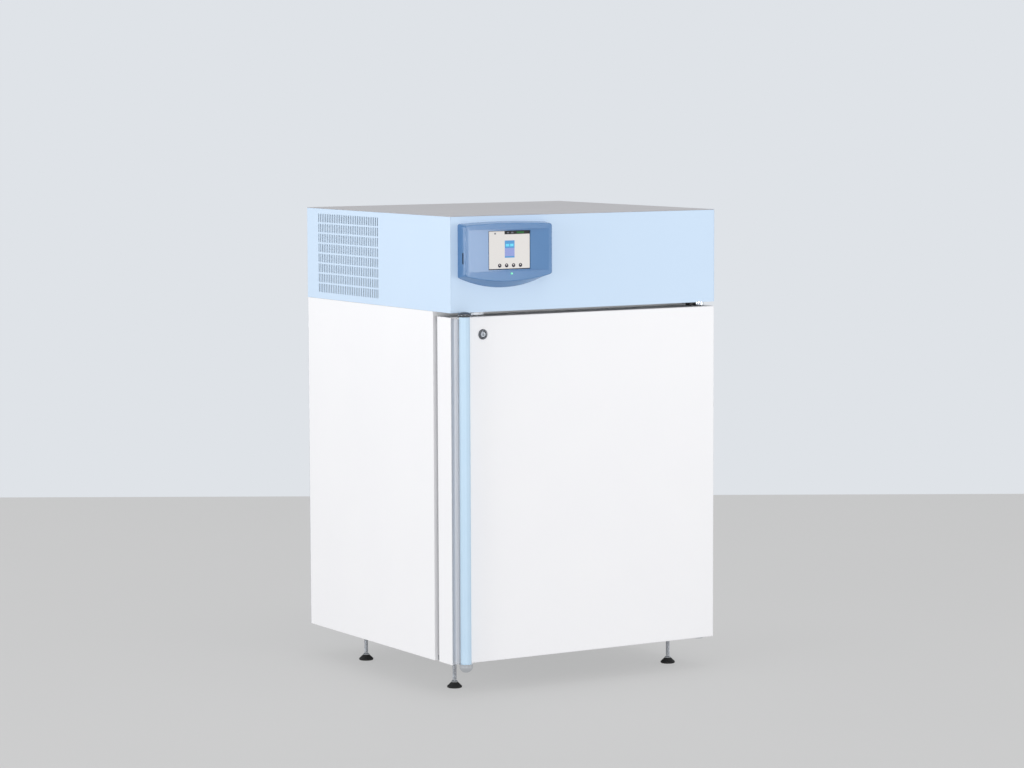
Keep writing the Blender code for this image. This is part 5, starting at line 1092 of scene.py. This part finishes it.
# %% Rocker and its marks
dressed_copy("rocker_key", "mains_rocker", "rocker", 0.4, 3)
KEY_TILT, KEY_CROWN, KEY_HOLLOW, KEY_EDGE = math.radians(10), 6.41, 0.8, 7.4
MARK_AT, MARK_SUNK, MARK_PROUD = 3.8, 0.2, 0.06
BAR_HALF_WIDE, BAR_HALF_TALL, RING_OUTER, RING_INNER = 0.35, 1.5, 1.5, 0.9
key_pivot = (middle_of("mains_rocker").x, 376.4 * MM, 1062 * MM)
key_frame = Matrix.Translation(key_pivot) @ Matrix.Rotation(KEY_TILT, 4, "X")
lean = math.atan(KEY_HOLLOW / KEY_EDGE)
height = KEY_CROWN - KEY_HOLLOW * (1 - MARK_AT / KEY_EDGE)
bar_mark = block("mark", Vector((-BAR_HALF_WIDE, -MARK_SUNK, -BAR_HALF_TALL)) * MM,
                 Vector((BAR_HALF_WIDE, MARK_PROUD, BAR_HALF_TALL)) * MM)
ring_mark = lathe("mark", [
    (RING_INNER, -MARK_SUNK), (RING_OUTER, -MARK_SUNK), (RING_OUTER, MARK_PROUD), (RING_INNER, MARK_PROUD),
    (RING_INNER, -MARK_SUNK)], (0, 0, 0), "Y", 32)
for mark, side in ((bar_mark, 1), (ring_mark, -1)):
    on_face = Matrix.Translation((0, height * MM, side * MARK_AT * MM))
    mark.matrix_world = key_frame @ on_face @ Matrix.Rotation(-side * lean, 4, "X")
    seat(mark)
marks = join([bar_mark, ring_mark])
marks.name = "rocker_marks"
dress(marks, "rocker", GREY_PLASTIC, "grey_plastic")

# %% [markdown]
# ## Floor, light and backdrop
# The floor is a plain pale square, and its far edge lies where the floor ends in the photograph. It glows a
# little, which keeps the cabinet's shadow faint. The photograph's light is soft and comes from all round,
# so an even sky and five soft boxes light the cabinet. Two on the left make that side brighter than the
# front, one on the right and a low one in front light the door evenly, and one hangs above the lid. Rays
# that look past the cabinet, or mirror off it, see a plain pale backdrop.

# %% Floor
FLOOR_SIZE = 6.6
floor = new_object("studio_floor", bpy.ops.mesh.primitive_plane_add, size=FLOOR_SIZE, rotation=(0, 0, -YAW))
# The floor's own glow is painted light: it lightens the cabinet's shadow on the floor.
floor_finish, floor_tree, floor_shader, floor_place = begin(
    "studio_floor_glowing", Roughness=0.8, Emission_Color=linear("#ABABAB"), Emission_Strength=1.0)
patches = add_node(floor_tree, "ShaderNodeTexNoise", {
    "Vector": floor_place, "Scale": per_mm(900), "Detail": 1.0})
tint(floor_tree, floor_shader, patches.outputs["Fac"], "#6D6D6D", "#717171")
floor.data.materials.append(floor_finish)


# %% Lamps
def soft_lamp(name, place, aim, wide, tall, power):
    """A rectangular soft box at place that faces aim. It lights the cabinet and isn't seen itself."""
    box = new_object(name, bpy.ops.object.light_add, type="AREA", location=place)
    box.data.shape = "RECTANGLE"
    box.data.size, box.data.size_y = wide, tall
    box.data.energy = power
    box.visible_camera = False
    box.rotation_euler = (Vector(aim) - Vector(place)).to_track_quat("-Z", "Y").to_euler()


soft_lamp("lamp_left", (-4.8, -1.2, 1.3), (-0.38, -0.1, 0.8), 2.4, 1.6, 60)
soft_lamp("lamp_behind", (-4.0, 4.0, 1.4), (-0.38, 0.0, 0.8), 3.4, 1.8, 48)
soft_lamp("lamp_right", (3.37, -3.84, 0.85), (-0.2, -0.35, 0.9), 2.4, 1.0, 40)
soft_lamp("lamp_level", (-2.2, -5.5, 0.92), (0.0, -0.35, 0.92), 2.4, 0.6, 75)
soft_lamp("lamp_above", (0.3, -0.6, 4.2), (0.0, 0.0, 1.0), 2.5, 2.5, 24)

# %% Sky and backdrop
BACKDROP = "#DFE3E8"
SKY_LEVEL = 0.62
world = bpy.data.worlds.new("studio_sky")
bpy.context.scene.world = world
world.use_nodes = True
sky_tree = world.node_tree
sky_tree.nodes.clear()
rays = add_node(sky_tree, "ShaderNodeLightPath")
seen = add_node(sky_tree, "ShaderNodeMath", {
    0: rays.outputs["Is Camera Ray"], 1: rays.outputs["Is Glossy Ray"]}, operation="ADD")
seen = add_node(sky_tree, "ShaderNodeMath", {
    0: seen.outputs[0], 1: rays.outputs["Is Transmission Ray"]}, operation="ADD", use_clamp=True)
light = add_node(sky_tree, "ShaderNodeBackground", {"Color": (1, 1, 1, 1), "Strength": SKY_LEVEL})
backdrop = add_node(sky_tree, "ShaderNodeBackground", {"Color": linear(BACKDROP), "Strength": 1.0})
blend = add_node(sky_tree, "ShaderNodeMixShader", {
    0: seen.outputs[0], 1: light.outputs[0], 2: backdrop.outputs[0]})
add_node(sky_tree, "ShaderNodeOutputWorld", {"Surface": blend.outputs[0]})
bpy.context.scene.view_settings.view_transform = "Standard"

# %% [markdown]
# ## Last step
# Everything is let go, so that nothing is left selected.

# %% Nothing left selected
deselect()
